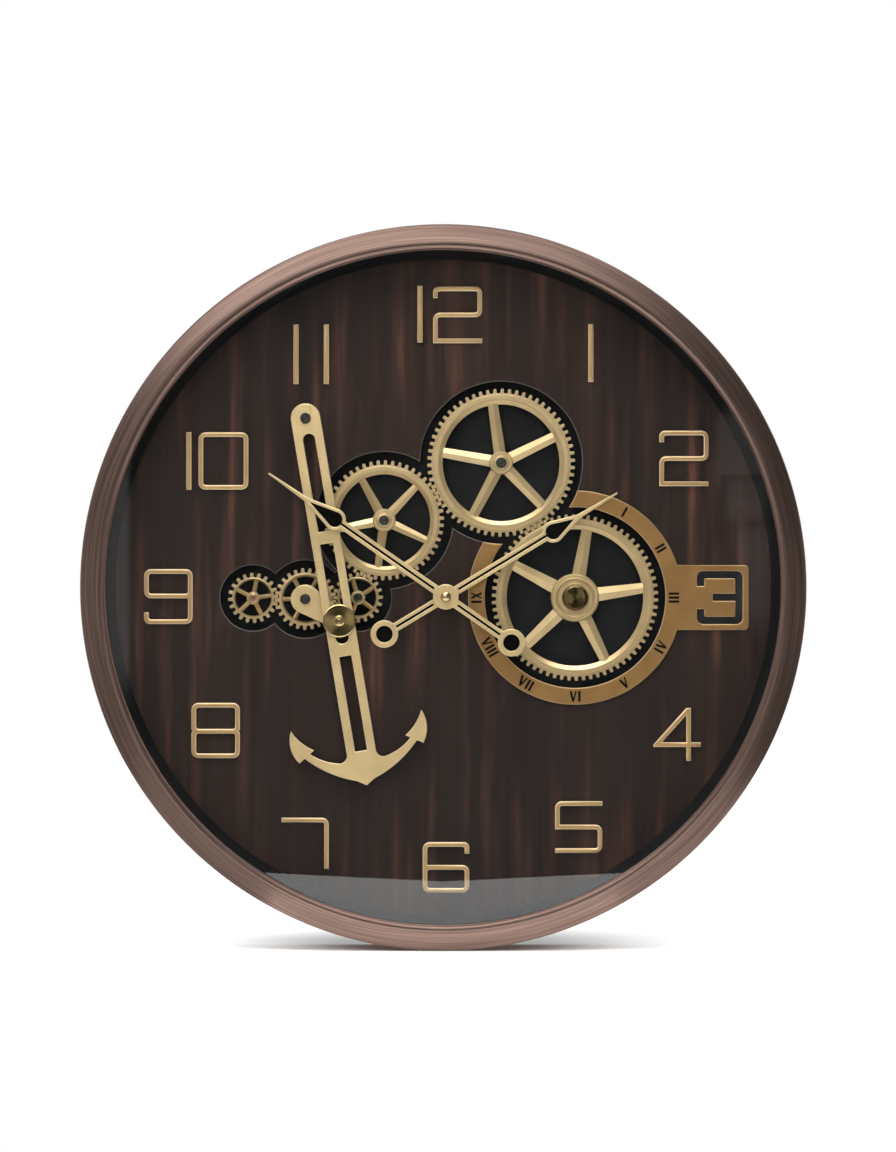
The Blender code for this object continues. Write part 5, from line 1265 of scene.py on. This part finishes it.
def gear_shape(name, phase):
    """A gear: its toothed ring, the bevelled rim inside it, roofed spokes and the hub."""
    gear = GEARS[name]
    back = depths(name)[0]
    front = back + GEAR_THICKNESS
    root = gear_radius(gear.teeth) - DEDENDUM * MODULE
    rim = root - gear.rim * MM
    bevel = rim + gear.bevel * MM
    groove = RIM_GROOVE * gear.rim * MM
    land = root - RIM_LAND * gear.rim * MM
    outlines = [toothed_outline(gear.teeth, phase), circle((0, 0), land - GAP)]
    shape = plate(outlines, back, front - TOOTH_SETBACK, TOOTH_EDGE)
    raised = [
        (rim, back, 0),
        (rim, front - BEVEL_DROP, 0),
        (bevel, front - SHARP, 0),
        (bevel, front - groove, 0),
        (bevel + groove, front - groove, 0),
        (bevel + groove, front, 0),
        (land - LAND_CHAMFER[0], front, 0),
        (land, front - LAND_CHAMFER[1], 0),
        (land, front - TOOTH_SETBACK - GAP, 0),
        (land - SHARP, back + SHARP, 0),
    ]
    put(shape, turned(raised))
    reach = (gear.hub * SPOKE_ROOT * MM, rim + GAP)
    widths = (gear.hub_width * MM, gear.rim_width * MM)
    levels = (back + FINE, front - EAVES_SETBACK, front - RIDGE_SETBACK)
    for number in range(gear.spokes):
        bar = spoke(*reach, *widths, *levels)
        turn = Matrix.Rotation(math.radians(gear.first + 360 * number / gear.spokes), 4, "Z")
        bmesh.ops.transform(bar, matrix=turn, verts=bar.verts)
        put(shape, bar)
    put(shape, turned(hub_corners(name, back, front)))
    bmesh.ops.translate(shape, vec=(*gear_centre(name), 0), verts=shape.verts)
    return shape


def hub_corners(name, back, front):
    """The hub's profile, with a rounded edge and a raised collar round the bore."""
    hub, top, step = GEARS[name].hub, depths(name)[1], front + HUB_RISE
    corners = [(BORE, back, 0), (BORE, top, SHARP)]
    if name == "right_gear":
        corners += profile(HUB_CUP, top) + profile(HUB_STEP, step) + profile(outward(hub, STEP_FOOT), step)
    elif name == "small_centre_gear":
        neck = hub * HUB_NECK
        corners += profile([(neck, 0, HUB_EDGE)], top) + profile([(neck, 0, 0), (hub, 0, HUB_EDGE)], step)
    else:
        corners += profile(outward(hub * HUB_COLLAR, COLLAR_LEDGE) + outward(hub, HUB_BROW), top)
    return corners + [(hub * MM, back, 0)]


def make_train(brass):
    for name, phase in gear_phases().items():
        piece(f"{name}_cut", gear_shape(name, phase), GEARS[name].body, brass, name)


def socket_top(centre, radius, socket, back, front, edge):
    """The rounded top of a screw head, with a hexagon socket in it."""
    outlines = [circle(centre, radius - HEAD_GAP, HEAD_SEGMENTS), circle(centre, socket, 6)]
    return plate(outlines, back, front, edge)


def socket_screw(node, finish, body="case"):
    """A screw head with a hexagon socket, over its shank."""
    centre, radius = middle_of(node), radius_of(node)
    back, front = depths(node)
    seat = front - SOCKET_HEAD
    middle, top = [front - SOCKET_HEAD * share for share in HEAD_SPLIT]
    shank = min(AXLE_SHANK, radius * SHANK_SHARE)
    base = [(0, back, 0), (shank, back, FINE), (shank, seat, 0), (radius, seat, SHARP)]
    shape = turned(base + [(radius, middle, SHARP), (0, middle, 0)], centre, HEAD_SEGMENTS)
    put(shape, socket_top(centre, radius, radius * SOCKET, top, front, SOCKET_HEAD * HEAD_ROUND))
    piece(f"{node}_turned", shape, body, finish, node)


def make_axles(dark, copper, cap, brass):
    for name in ("upper_gear", "middle_gear", "small_right_gear", "small_centre_gear"):
        socket_screw(f"{name}_axle", dark)
    socket_screw("motor_shaft", copper, "motor_wheel")
    back, front = depths("right_gear_axle")
    corners = [(0, back, 0), (AXLE_SHANK, back, 0)] + profile(CAP_PROFILE, front)
    shape = turned(corners, gear_centre("right_gear"))
    piece("right_gear_axle_turned", shape, "case", cap, "right_gear_axle")
    for name in ("upper_gear", "middle_gear"):
        corners = outward(radius_of(f"{name}_axle") / MM, WASHER_PROFILE)
        shape = turned(profile(corners, depths(name)[1] + WASHER_GAP), gear_centre(name))
        piece(f"{name}_washer", shape, "case", brass)


# Crank and anchor


def make_crank(brass):
    """The teardrop plate on the small centre gear, with the stub that drives the disc."""
    back, front = depths("crank_plate")
    lean = math.degrees(math.acos((CRANK_HEAD_RADIUS - CRANK_END_RADIUS) / CRANK_RADIUS))
    right, left = CRANK_BEARING - lean, CRANK_BEARING + lean
    head = arc((0, 0), CRANK_HEAD_RADIUS, left, right + 360)
    tail = arc(polar(CRANK_RADIUS, CRANK_BEARING), CRANK_END_RADIUS, right, left)
    centre = gear_centre("small_centre_gear")
    outlines = [moved(edge, centre) for edge in (head + tail, hole((0, 0), BORE))]
    shape = plate(outlines, back, back + CRANK_THICKNESS, PLATE_EDGE)
    foot = back + FINE
    stub = [(0, foot, 0), (CRANK_STUB_RADIUS, foot, 0), (CRANK_STUB_RADIUS, front, FINE), (0, front, 0)]
    put(shape, turned(stub, crank_pin(), SCREW_SEGMENTS))
    piece("crank_plate_cut", shape, "crank_wheel", brass, "crank_plate")


def anchor_outline():
    """The arm and its flukes, with the pivot at the origin and the arm hanging down -y."""

    def down(point):
        return point[0] * MM, -point[1] * MM

    half = [(0, -FLUKE_TIP * MM)]
    half += bowed(down(FLUKE_KEEL), down(FLUKE_OUTER_NECK), KEEL_BOW * MM)
    half += bowed(down(FLUKE_OUTER_BARB), down(FLUKE_POINT), OUTER_BOW * MM)
    half += bowed(down(FLUKE_POINT), down(FLUKE_INNER_BARB), INNER_BOW * MM)[1:]
    half += bowed(down(FLUKE_INNER_NECK), down(FLUKE_THROAT), THROAT_BOW * MM)
    half += bowed(down(FLUKE_THROAT), (ARM_HALF_WIDTH, -FLUKE_FILLET_DROP * MM), FILLET_BOW * MM)[1:]
    half += arc((0, 0), ARM_HALF_WIDTH, 0, 90)
    return mirrored(half)


def make_anchor(brass, dark):
    pivot = axis_of("anchor_swing")
    hang = bearing(pivot, crank_pin()) + 90
    apart = distance(pivot, gear_centre("small_centre_gear"))
    end, side = CRANK_SLOT_WIDTH / 2, SIDE_SLOT_WIDTH / 2
    slot_low = apart + CRANK_RADIUS + GAP
    slot_high = apart - CRANK_RADIUS - CRANK_SLOT_SPARE
    upper_end = end + ARM_BRIDGE - slot_high
    lower_start = -slot_low - end - ARM_BRIDGE
    upper = [(-side, upper_end), (side, upper_end)] + arc((0, -ARM_SLOT_START - side), side, 0, 180)
    slot_top = [(end, end - slot_high), (-end, end - slot_high)]
    crank_slot = slot_top + arc((0, -slot_low), end, 180, 360)
    lower = box_outline((-side, -ARM_SLOT_END), (side, lower_start), SIDE_SLOT_CORNER)
    outlines = [anchor_outline(), upper, crank_slot, lower, hole((0, 0), PIVOT_BORE)]
    outlines = [moved(swung(outline, hang), pivot) for outline in outlines]
    back, front = depths("anchor_arm")
    shape = plate(outlines, back, front, PLATE_EDGE)
    piece("anchor_arm_cut", shape, "anchor", brass, "anchor_arm")
    make_pivot_screw(pivot, dark)


def make_pivot_screw(pivot, dark):
    """The shoulder screw that stands on the dial and carries the arm."""
    back, front = depths("anchor_pivot_screw")
    arm_back, arm_front = depths("anchor_arm")
    corners = profile(PIVOT_HEAD, front) + profile(PIVOT_HEAD_FOOT, arm_front)
    corners += profile(PIVOT_NECK_FOOT, arm_back) + profile(PIVOT_FLANGE, depths("dial_panel")[1])
    shape = turned(corners + profile(PIVOT_END, back), pivot, HEAD_SEGMENTS)
    radius = PIVOT_HEAD[1][0] * MM
    put(shape, socket_top(pivot, radius, PIVOT_SOCKET, front - PIVOT_SOCKET_DEPTH, front, SOFT))
    piece("anchor_pivot_screw_turned", shape, "case", dark, "anchor_pivot_screw")


def make_crank_disc(spun, bright):
    """The turned disc in the arm's slot, with its bright edge, and the screw boss at its middle."""
    pin = crank_pin()
    back, front = depths("crank_disc")
    inner, outer = DISC_PROFILE[0][0] * MM, DISC_PROFILE[-1][0] * MM
    corners = [(inner, back, 0)] + profile(DISC_PROFILE, front) + [(outer, back, FINE)]
    piece("crank_disc_spun", turned(corners, pin), "crank_slider", spun, "crank_disc")
    edge = turned(profile(DISC_EDGE_PROFILE, front), pin)
    piece("crank_disc_edge", edge, "crank_slider", bright)
    back, front = depths("crank_screw")
    boss = turned(profile(BOSS_END, back) + profile(BOSS_PROFILE, front), pin)
    piece("crank_screw_turned", boss, "crank_slider", bright, "crank_screw")


# Hands


def hand_outlines(length, leaf, leaf_point, tail, shaft):
    """A hand that points up y: a tail ring, a hub, two rails, an open leaf and a thin tip."""
    ring_meet = math.degrees(math.acos(RAIL / RING_RADIUS))
    hub_meet = math.degrees(math.acos(RAIL / HUB_RADIUS))
    leaf_meet = math.degrees(math.acos(RAIL / LEAF_RADIUS))
    right = arc((0, -tail), RING_RADIUS, -90, ring_meet)
    right += arc((0, 0), HUB_RADIUS, -hub_meet, hub_meet)
    right += arc((0, leaf), LEAF_RADIUS, -leaf_meet, LEAF_SHOULDER)
    right += [(TIP_HALF_WIDTH, leaf_point), (POINT_HALF_WIDTH, length)]
    hole_meet = math.degrees(math.acos(HAND_SLOT / LEAF_HOLE))
    opening = [(HAND_SLOT, HAND_SLOT_START)]
    opening += arc((0, leaf), LEAF_HOLE, -hole_meet, LEAF_SHOULDER)
    opening.append((0, leaf_point - LEAF_TOE))
    tail_slot = box_outline((-HAND_SLOT, RING_RADIUS - tail), (HAND_SLOT, -HAND_SLOT_START))
    holes = [circle((0, -tail), RING_HOLE), hole((0, 0), shaft)]
    return [mirrored(right), mirrored(opening), tail_slot] + holes


def make_hands(brass, polished, ink):
    """The hands, with black enamel in their slots, leaves and tail rings, and the nut that holds them."""
    centre = axis_of("minute_turn")
    for name, (*sizes, clockwise) in HANDS.items():
        outlines = [moved(swung(outline, clockwise), centre) for outline in hand_outlines(*sizes)]
        back, front = depths(name)
        body = name.replace("_hand", "")
        piece(f"{name}_cut", plate(outlines, back, front, PLATE_EDGE), body, brass, name)
        fill = bmesh.new()
        for opening in outlines[1:4]:
            put(fill, plate([opening], back + INLAY_DEPTH, front - INLAY_DEPTH))
        piece(f"{name}_inlay", fill, body, ink)
    back, front = depths("hand_nut")
    corners = [(NUT_TOP[0][0] * MM, back, 0)] + profile(NUT_TOP, front)
    for step in range(1, SHOULDER_STEPS + 1):
        turn = math.radians(90 * (1 - step / SHOULDER_STEPS))
        reach = NUT_RADIUS * math.cos(turn)
        if reach > NUT_POINT_RADIUS:
            corners.append((reach, back + NUT_BASE + NUT_DOME * math.sin(turn), 0))
    corners.append((NUT_RADIUS, back, FINE))
    piece("hand_nut_turned", turned(corners, centre), "minute", polished, "hand_nut")


# Back


def keyhole(margin=0.0):
    """The hanging hole: round below, and above it a narrow slot whose end is centred on the origin."""
    wide, narrow = KEYHOLE_RADIUS + margin, KEYHOLE_SLOT_RADIUS + margin
    meet = math.degrees(math.acos(narrow / wide))
    return arc((0, -KEYHOLE_TRAVEL), wide, 180 - meet, 360 + meet) + arc((0, 0), narrow, 0, 180)


def node_outline(node, margin=0.0, corner=0.0):
    low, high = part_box(node)
    return box_outline((low.x - margin, low.z - margin), (high.x + margin, high.z + margin), corner)


def make_board(board, steel, dark):
    """The back cover with its rim, staked hanger plate and four screws."""
    centre = middle_of("case_ring")
    back, front = depths("back_cover")
    screws = [f"case_screw_{number}" for number in range(1, 5)]
    outlines = [circle(centre, radius_of("back_cover"), RING_SEGMENTS), keyhole(KEYHOLE_MARGIN)]
    outlines += [node_outline(node, MODULE_GAP, WINDOW_CORNER) for node in ("movement_case", "motor_case")]
    outlines += [hole(middle_of(screw), CASE_SCREW_HOLE) for screw in screws]
    shape = backed(outlines, back, back + COVER_THICKNESS, BOARD_EDGE)
    inner, seat = PANE_RADIUS - COVER_RIM, back + COVER_THICKNESS / 2
    rim = [(inner, seat, 0), (PANE_RADIUS, seat, 0), (PANE_RADIUS, front, RIM_EDGE), (inner, front, RIM_EDGE)]
    put(shape, turned(rim, centre, RING_SEGMENTS))
    plate_back, plate_front = depths("hanger_plate")
    stakes = [(side * STAKE_REACH, -KEYHOLE_TRAVEL) for side in (-1, 1)]
    wide, high = STAKE_HEAD
    head = plate_front + GAP
    for stake in stakes:
        corners = [(0, seat, 0), (STAKE_RADIUS, seat, 0), (STAKE_RADIUS, head, 0), (wide, head, 0)]
        corners += [(wide, head + high, RIM_EDGE), (0, head + high, 0)]
        put(shape, turned(corners, stake, SCREW_SEGMENTS))
    piece("back_cover_cut", shape, "case", board, "back_cover")
    outlines = [node_outline("hanger_plate", 0.0, HANGER_CORNER), keyhole()]
    outlines += [hole(stake, STAKE_RADIUS + GAP) for stake in stakes]
    shape = backed(outlines, plate_back, plate_front, HANGER_EDGE)
    piece("hanger_plate_cut", shape, "case", steel, "hanger_plate")
    for screw in screws:
        cross_screw(screw, dark)


def cross(centre, reach, half):
    """A plus sign's outline."""
    arm = [(half, half), (half, reach), (-half, reach)]
    return moved([point for quarter in range(4) for point in swung(arm, 90 * quarter)], centre)


def cross_screw(node, finish):
    """A wood screw with a cross recess that faces the wall."""
    centre, radius = middle_of(node), radius_of(node)
    back, front = depths(node)
    floor, seat = back + CROSS_DEPTH, back + CASE_SCREW_HEAD
    corners = [(0, floor, 0), (radius, floor, 0), (radius, seat, FINE), (CASE_SCREW_SHANK, seat, 0)]
    corners += [(CASE_SCREW_SHANK, front - CASE_SCREW_POINT, 0), (0, front, 0)]
    shape = turned(corners, centre, SCREW_SEGMENTS)
    outlines = [hole(centre, radius), cross(centre, CROSS_REACH, CROSS_HALF_WIDTH)]
    put(shape, backed(outlines, back, floor, SOFT))
    piece(f"{node}_cross", shape, "case", finish, node)


def make_modules(black):
    """The movement's cover and the gear motor's case, with their cell bays, ribs and rivets."""
    back = depths("movement_cover")[0]
    for name, node in (("movement", "movement_cover"), ("motor", "motor_case")):
        low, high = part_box(f"{name}_case")
        cell_low, cell_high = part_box(f"{name}_cell")
        bay_low, bay_top = cell_low.z - BAY_MARGIN, cell_high.z + BAY_MARGIN
        bay = box_outline((low.x + BAY_WALL, bay_low), (high.x - BAY_WALL, bay_top), BAY_CORNER)
        outlines = [node_outline(f"{name}_case", 0.0, MODULE_CORNER), bay]
        front = depths(node)[1]
        raised = []
        if name == "movement":
            knob = middle_of("set_knob")
            shape = backed(outlines + [hole(knob, KNOB_HOLE)], back, front, MODULE_EDGE)
            raised.append(([circle(knob, KNOB_RING + RIB_WIDTH), circle(knob, KNOB_RING)], RIB))
        else:
            split = back + COVER_THICKNESS
            shape = backed(outlines, back, split, MODULE_EDGE)
            shaft = hole(gear_centre("small_left_gear"), SHAFT_HOLE)
            put(shape, plate(outlines + [shaft], split + SHARP, front))
            put(shape, plate([bay], front - MODULE_WALL, front - SHARP))
        corner = (low.x + RIB_INSET, bay_top + RIB_INSET)
        opposite = (high.x - RIB_INSET, high.z - RIB_INSET)
        raised.append((frame_outlines(corner, opposite, RIB_CORNER, RIB_WIDTH), RIB))
        for x in (low.x + RIVET_INSET, high.x - RIVET_INSET):
            for y in (bay_top + RIVET_INSET, high.z - RIVET_INSET):
                raised.append(([hole((x, y), RIVET_RADIUS)], RIVET))
        middle, rise = (low.x + high.x) / 2, bay_top + MARK_RISE
        minus = box_outline((-MARK_SIZE, -MARK_STROKE), (MARK_SIZE, MARK_STROKE))
        raised.append(([cross((middle + MARK_REACH, rise), MARK_SIZE, MARK_STROKE)], MARK))
        raised.append(([moved(minus, (middle - MARK_REACH, rise))], MARK))
        for outlines, (height, edge, drop) in raised:
            put(shape, backed(outlines, back - height, back + SHARP, edge, drop))
        piece(f"{node}_moulded", shape, "case", black, node)


def make_cell(name, wrap, band, steel):
    """An AA cell that lies across its bay, and the metal contacts at its ends."""
    low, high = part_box(f"{name}_cell")
    radius = (high.z - low.z) / 2
    centre = Vector((0, (low.z + high.z) / 2, -(low.y + high.y) / 2))
    left, right = low.x, high.x
    shoulder = right - NUB_LENGTH
    join = shoulder - BAND_LENGTH
    start, end = left + WRAP_START, shoulder - WRAP_END
    can = [(0, start, 0), (radius, start, CELL_EDGE), (radius, join, 0), (0, join, 0)]
    collar = [(0, join, 0), (radius, join, 0), (radius, end, CELL_EDGE), (0, end, 0)]
    heel, lid = left + END_DEPTH, shoulder - END_DEPTH
    foot = [(0, left, 0), (FOOT_SHARE * radius, left, SOFT), (HEEL_SHARE * radius, heel, 0), (0, heel, 0)]
    cap = [(0, lid, 0), (CAP_SHARE * radius, lid, 0), (CAP_SHARE * radius, shoulder, SHARP)]
    cap += [(NUB_RADIUS, shoulder, SOFT), (NUB_RADIUS, right, NUB_EDGE), (0, right, 0)]
    lay = Matrix.Rotation(math.radians(90), 4, "Y")
    for part, shape, slot, finish in (
        ("can", turned(can), "cell_wrap", wrap),
        ("band", turned(collar), "cell_wrap", band),
        ("ends", put(turned(foot), turned(cap)), "steel", steel),
    ):
        bmesh.ops.transform(shape, matrix=lay, verts=shape.verts)
        bmesh.ops.translate(shape, vec=centre, verts=shape.verts)
        piece(f"{name}_cell_{part}", shape, "case", finish, f"{name}_cell" if part == "can" else None)
    case_low, case_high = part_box(f"{name}_case")
    start = case_low.x + BAY_WALL + CONTACT_GAPS[0]
    end = case_high.x - BAY_WALL - CONTACT_GAPS[1]
    bottom, top = centre.y - CONTACT_REACH, centre.y + CONTACT_REACH
    back, front = -high.y + CONTACT_SETBACKS[0], -low.y - CONTACT_SETBACKS[1]
    strip = bowed((start, bottom), (start, top), -CONTACT_BOW)
    shape = plate([strip + moved(strip, (CONTACT_THICKNESS, 0))[::-1]], back, front)
    put(shape, plate([box_outline((end - CONTACT_THICKNESS, bottom), (end, top))], back, front))
    piece(f"{name}_contacts", shape, "case", steel)


def make_knob(white):
    """The setting knob, fluted round its edge, on the shaft of its pinion."""
    centre, radius = middle_of("set_knob"), radius_of("set_knob")
    back, front = depths("set_knob")
    edge = []
    for step in range(2 * KNOB_FLUTES):
        edge.append(polar(radius - KNOB_FLUTE_DEPTH * (step % 2), 180 * step / KNOB_FLUTES, centre))
    inner, foot, tip = back + KNOB_HEIGHT, back + KNOB_HEIGHT - FINE, front - FINE
    shape = backed([edge, circle(centre, KNOB_WELL * radius)], back, inner, SOFT)
    well_floor = circle(centre, KNOB_WELL_FLOOR * radius)
    put(shape, backed([well_floor], back + KNOB_WELL_DEPTH, inner - SHARP))
    shaft = [(0, foot, 0), (KNOB_SHAFT, foot, 0), (KNOB_SHAFT, tip, 0), (0, tip, 0)]
    put(shape, turned(shaft, centre, SCREW_SEGMENTS))
    teeth = moved(toothed_outline(KNOB_TEETH, 0.0, KNOB_MODULE), centre)
    put(shape, plate([teeth], front - KNOB_PINION, front))
    piece("set_knob_fluted", shape, "setting", white, "set_knob")


# Studio


def stage_sheet(name, outline, finish):
    """A flat sheet of the studio, lying on the board."""
    shape = bmesh.new()
    shape.faces.new([shape.verts.new((x, y, 0)) for x, y in outline])
    sheet = show(name, as_mesh(name, shape, finish))
    return sheet


def seen_rays(tree):
    """1 for the rays that show a thing to the eye, straight or in metal and glass, and 0 for the others."""
    ray = add(tree, "ShaderNodeLightPath").outputs
    shown = maths(tree, "MAXIMUM", ray["Is Camera Ray"], ray["Is Glossy Ray"])
    return maths(tree, "MAXIMUM", shown, ray["Is Transmission Ray"])


def make_world():
    world = bpy.data.worlds.new("studio")
    bpy.context.scene.world = world
    world.use_nodes = True
    tree = world.node_tree
    sky = tree.nodes["Background"]
    sky.inputs["Color"].default_value = (1, 1, 1, 1)
    tree.links.new(spread(tree, seen_rays(tree), SKY_LIGHT, 1.0), sky.inputs["Strength"])


def make_floor():
    """A white floor that stops short of the glass in a wide V, so that the pane shows its edge. Its painted
    glow washes out its shadow away from the clock, and reflections see a painted, darker tone and a glow of
    their own.
    """
    sockets = {"Roughness": 0.95, "Specular_IOR_Level": 0.0, "Emission_Color": (1, 1, 1, 1)}
    finish, tree, shader = new_finish("white floor", **sockets)
    away = vector_maths(tree, "LENGTH", place_of(tree, scale=FLOOR_STRETCH))
    glow = spread(tree, away, 0.0, PAINTED_FLOOR_GLOW, GLOW_START, GLOW_END, "SMOOTHSTEP")
    glow = maths(tree, "MULTIPLY", glow, seen_rays(tree))
    # Painted reflection: glossy rays see a darker floor that glows beside the clock too
    mirrored_ray = add(tree, "ShaderNodeLightPath").outputs["Is Glossy Ray"]
    tree.links.new(spread(tree, mirrored_ray, FLOOR_SHADE, PAINTED_MIRRORED_SHADE), shader.inputs["Base Color"])
    glow = maths(tree, "MAXIMUM", glow, spread(tree, mirrored_ray, 0.0, PAINTED_MIRRORED_GLOW))
    tree.links.new(glow, shader.inputs["Emission Strength"])
    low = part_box("case_ring")[0]
    apex = low.y - FLOOR_REACH
    far = apex - FLOOR_SIZE * FLOOR_NOTCH
    corners = [(-FLOOR_SIZE, far), (0, apex), (FLOOR_SIZE, far)]
    corners += [(FLOOR_SIZE, FLOOR_SIZE), (-FLOOR_SIZE, FLOOR_SIZE)]
    stage_sheet("studio_floor", corners, finish).location.z = low.z


def faced(made, place, way, front):
    """Puts a lamp or a card in its place, with its front turned a way."""
    made.location = place
    made.rotation_mode = "QUATERNION"
    made.rotation_quaternion = Vector(way).to_track_quat(front, "Y")


def card(name, size, place, way, shade, soft):
    """A studio card that only reflections see, of one shade that fades towards its edges where it is soft."""
    sockets = {"Base_Color": (0, 0, 0, 1), "Roughness": 1.0, "Specular_IOR_Level": 0.0}
    sockets |= {"Emission_Color": (1, 1, 1, 1), "Emission_Strength": shade}
    finish, tree, shader = new_finish(name, **sockets)
    x, y = size[0] / 2, size[1] / 2
    if soft:
        spot = add(tree, "ShaderNodeSeparateXYZ", {"Vector": place_of(tree, scale=(1 / x, 1 / y, 1))}).outputs
        glow = shade
        for axis in ("X", "Y"):
            off = maths(tree, "ABSOLUTE", spot[axis])
            glow = maths(tree, "MULTIPLY", glow, spread(tree, off, 0.0, 1.0, 1.0, 1.0 - soft, "SMOOTHSTEP"))
        tree.links.new(glow, shader.inputs["Emission Strength"])
    sheet = stage_sheet(name, [(-x, -y), (x, -y), (x, y), (-x, y)], finish)
    faced(sheet, place, way, "Z")
    sheet.visible_camera = False
    sheet.visible_diffuse = False
    sheet.visible_shadow = False


def lamp(name, place, size, power, way):
    light = bpy.data.lights.new(name, "AREA")
    light.shape = "RECTANGLE"
    light.size, light.size_y = size
    light.energy = power
    made = show(name, light)
    faced(made, place, way, "-Z")
    made.visible_glossy = False


def make_lights():
    middle = middle_of("case_ring")
    aim = Vector((middle[0], 0, middle[1]))
    for name, (place, size, power) in LAMPS.items():
        lamp(name, place, size, power, aim - Vector(place))
    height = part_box("case_ring")[0].z + FLOOR_CARD_RISE
    for name, (size, (x, y, z), way, shade, soft) in CARDS.items():
        place = Vector((x, y, height if z is None else z))
        card(name, size, place, way or aim - place, shade, soft)


def make_camera():
    """The photograph's view: straight on, from three metres."""
    centre = middle_of("case_ring")
    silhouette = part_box("case_ring")[0].y + SHOULDER_DROP
    camera = bpy.data.cameras.new("camera")
    camera.sensor_width = SENSOR
    camera.lens = SENSOR * CAMERA_DISTANCE / (PHOTO_HEIGHT * PIXEL)
    eye = show("camera", camera)
    across = (PHOTO_CENTRE[0] - CLOCK_CENTRE[0]) * PIXEL
    up = (CLOCK_CENTRE[1] - PHOTO_CENTRE[1]) * PIXEL
    eye.location = (centre[0] + across, silhouette - CAMERA_DISTANCE, centre[1] + up)
    eye.rotation_euler = (math.radians(90), 0, 0)
    bpy.context.scene.camera = eye


# The clock


def dress_plain_nodes(finishes):
    """Gives the CAD nodes that keep their shape their finish."""
    for name, finish in finishes.items():
        node = frame["nodes"][name]
        node.data.materials.clear()
        node.data.materials.append(finish)


def make_clock():
    centre, hub, pin = middle_of("case_ring"), gear_centre("right_gear"), crank_pin()
    metals = {name: satin_metal(name, *look) for name, look in SATIN_METALS.items()}
    plastics = {name: moulded(name, *look) for name, look in MOULDED.items()}
    copper = antique_copper((centre[0], 0, centre[1]))
    dark = dark_steel((hub[0], 0, hub[1]))
    spun = spun_bronze("spun bronze", (0.13, 0.092, 0.037), (0.25, 0.182, 0.076), (pin[0], 0, pin[1]))
    cap = spun_bronze("bronze cap", (0.085, 0.058, 0.024), (0.15, 0.105, 0.045), (hub[0], 0, hub[1]))
    brass, gear_brass, polished = metals["pale brass"], metals["gear brass"], metals["polished brass"]
    steel = metals["zinc plate"]
    black, ink, white = plastics["black plastic"], plastics["black enamel"], plastics["white plastic"]

    make_case(copper, clear_glass(), black)
    make_dial(dark_wood())
    make_subdial(metals["bronze sub-dial"])
    make_tab_dark_sheet(black)
    make_romans(ink)
    make_numerals(metals["gold numerals"])
    make_train(gear_brass)
    make_axles(dark, metals["copper screw"], cap, gear_brass)
    make_crank(brass)
    make_anchor(brass, dark)
    make_crank_disc(spun, polished)
    make_hands(brass, polished, ink)
    make_board(hardboard(), steel, dark)
    make_modules(black)
    for name in ("movement", "motor"):
        make_cell(name, plastics["cell wrap"], plastics["cell band"], steel)
    make_knob(white)
    dress_plain_nodes({
        "gear_tray": black,
        "tray_screw_1": dark,
        "tray_screw_2": dark,
        "movement_case": black,
        "movement_nut": brass,
        "minute_arbor": steel,
        "motion_wheel": white,
        "hour_wheel": white,
        "stepper_coil": metals["enamelled wire"],
    })


make_camera()
make_clock()
make_world()
make_floor()
make_lights()
bpy.context.scene.view_settings.view_transform = "Standard"
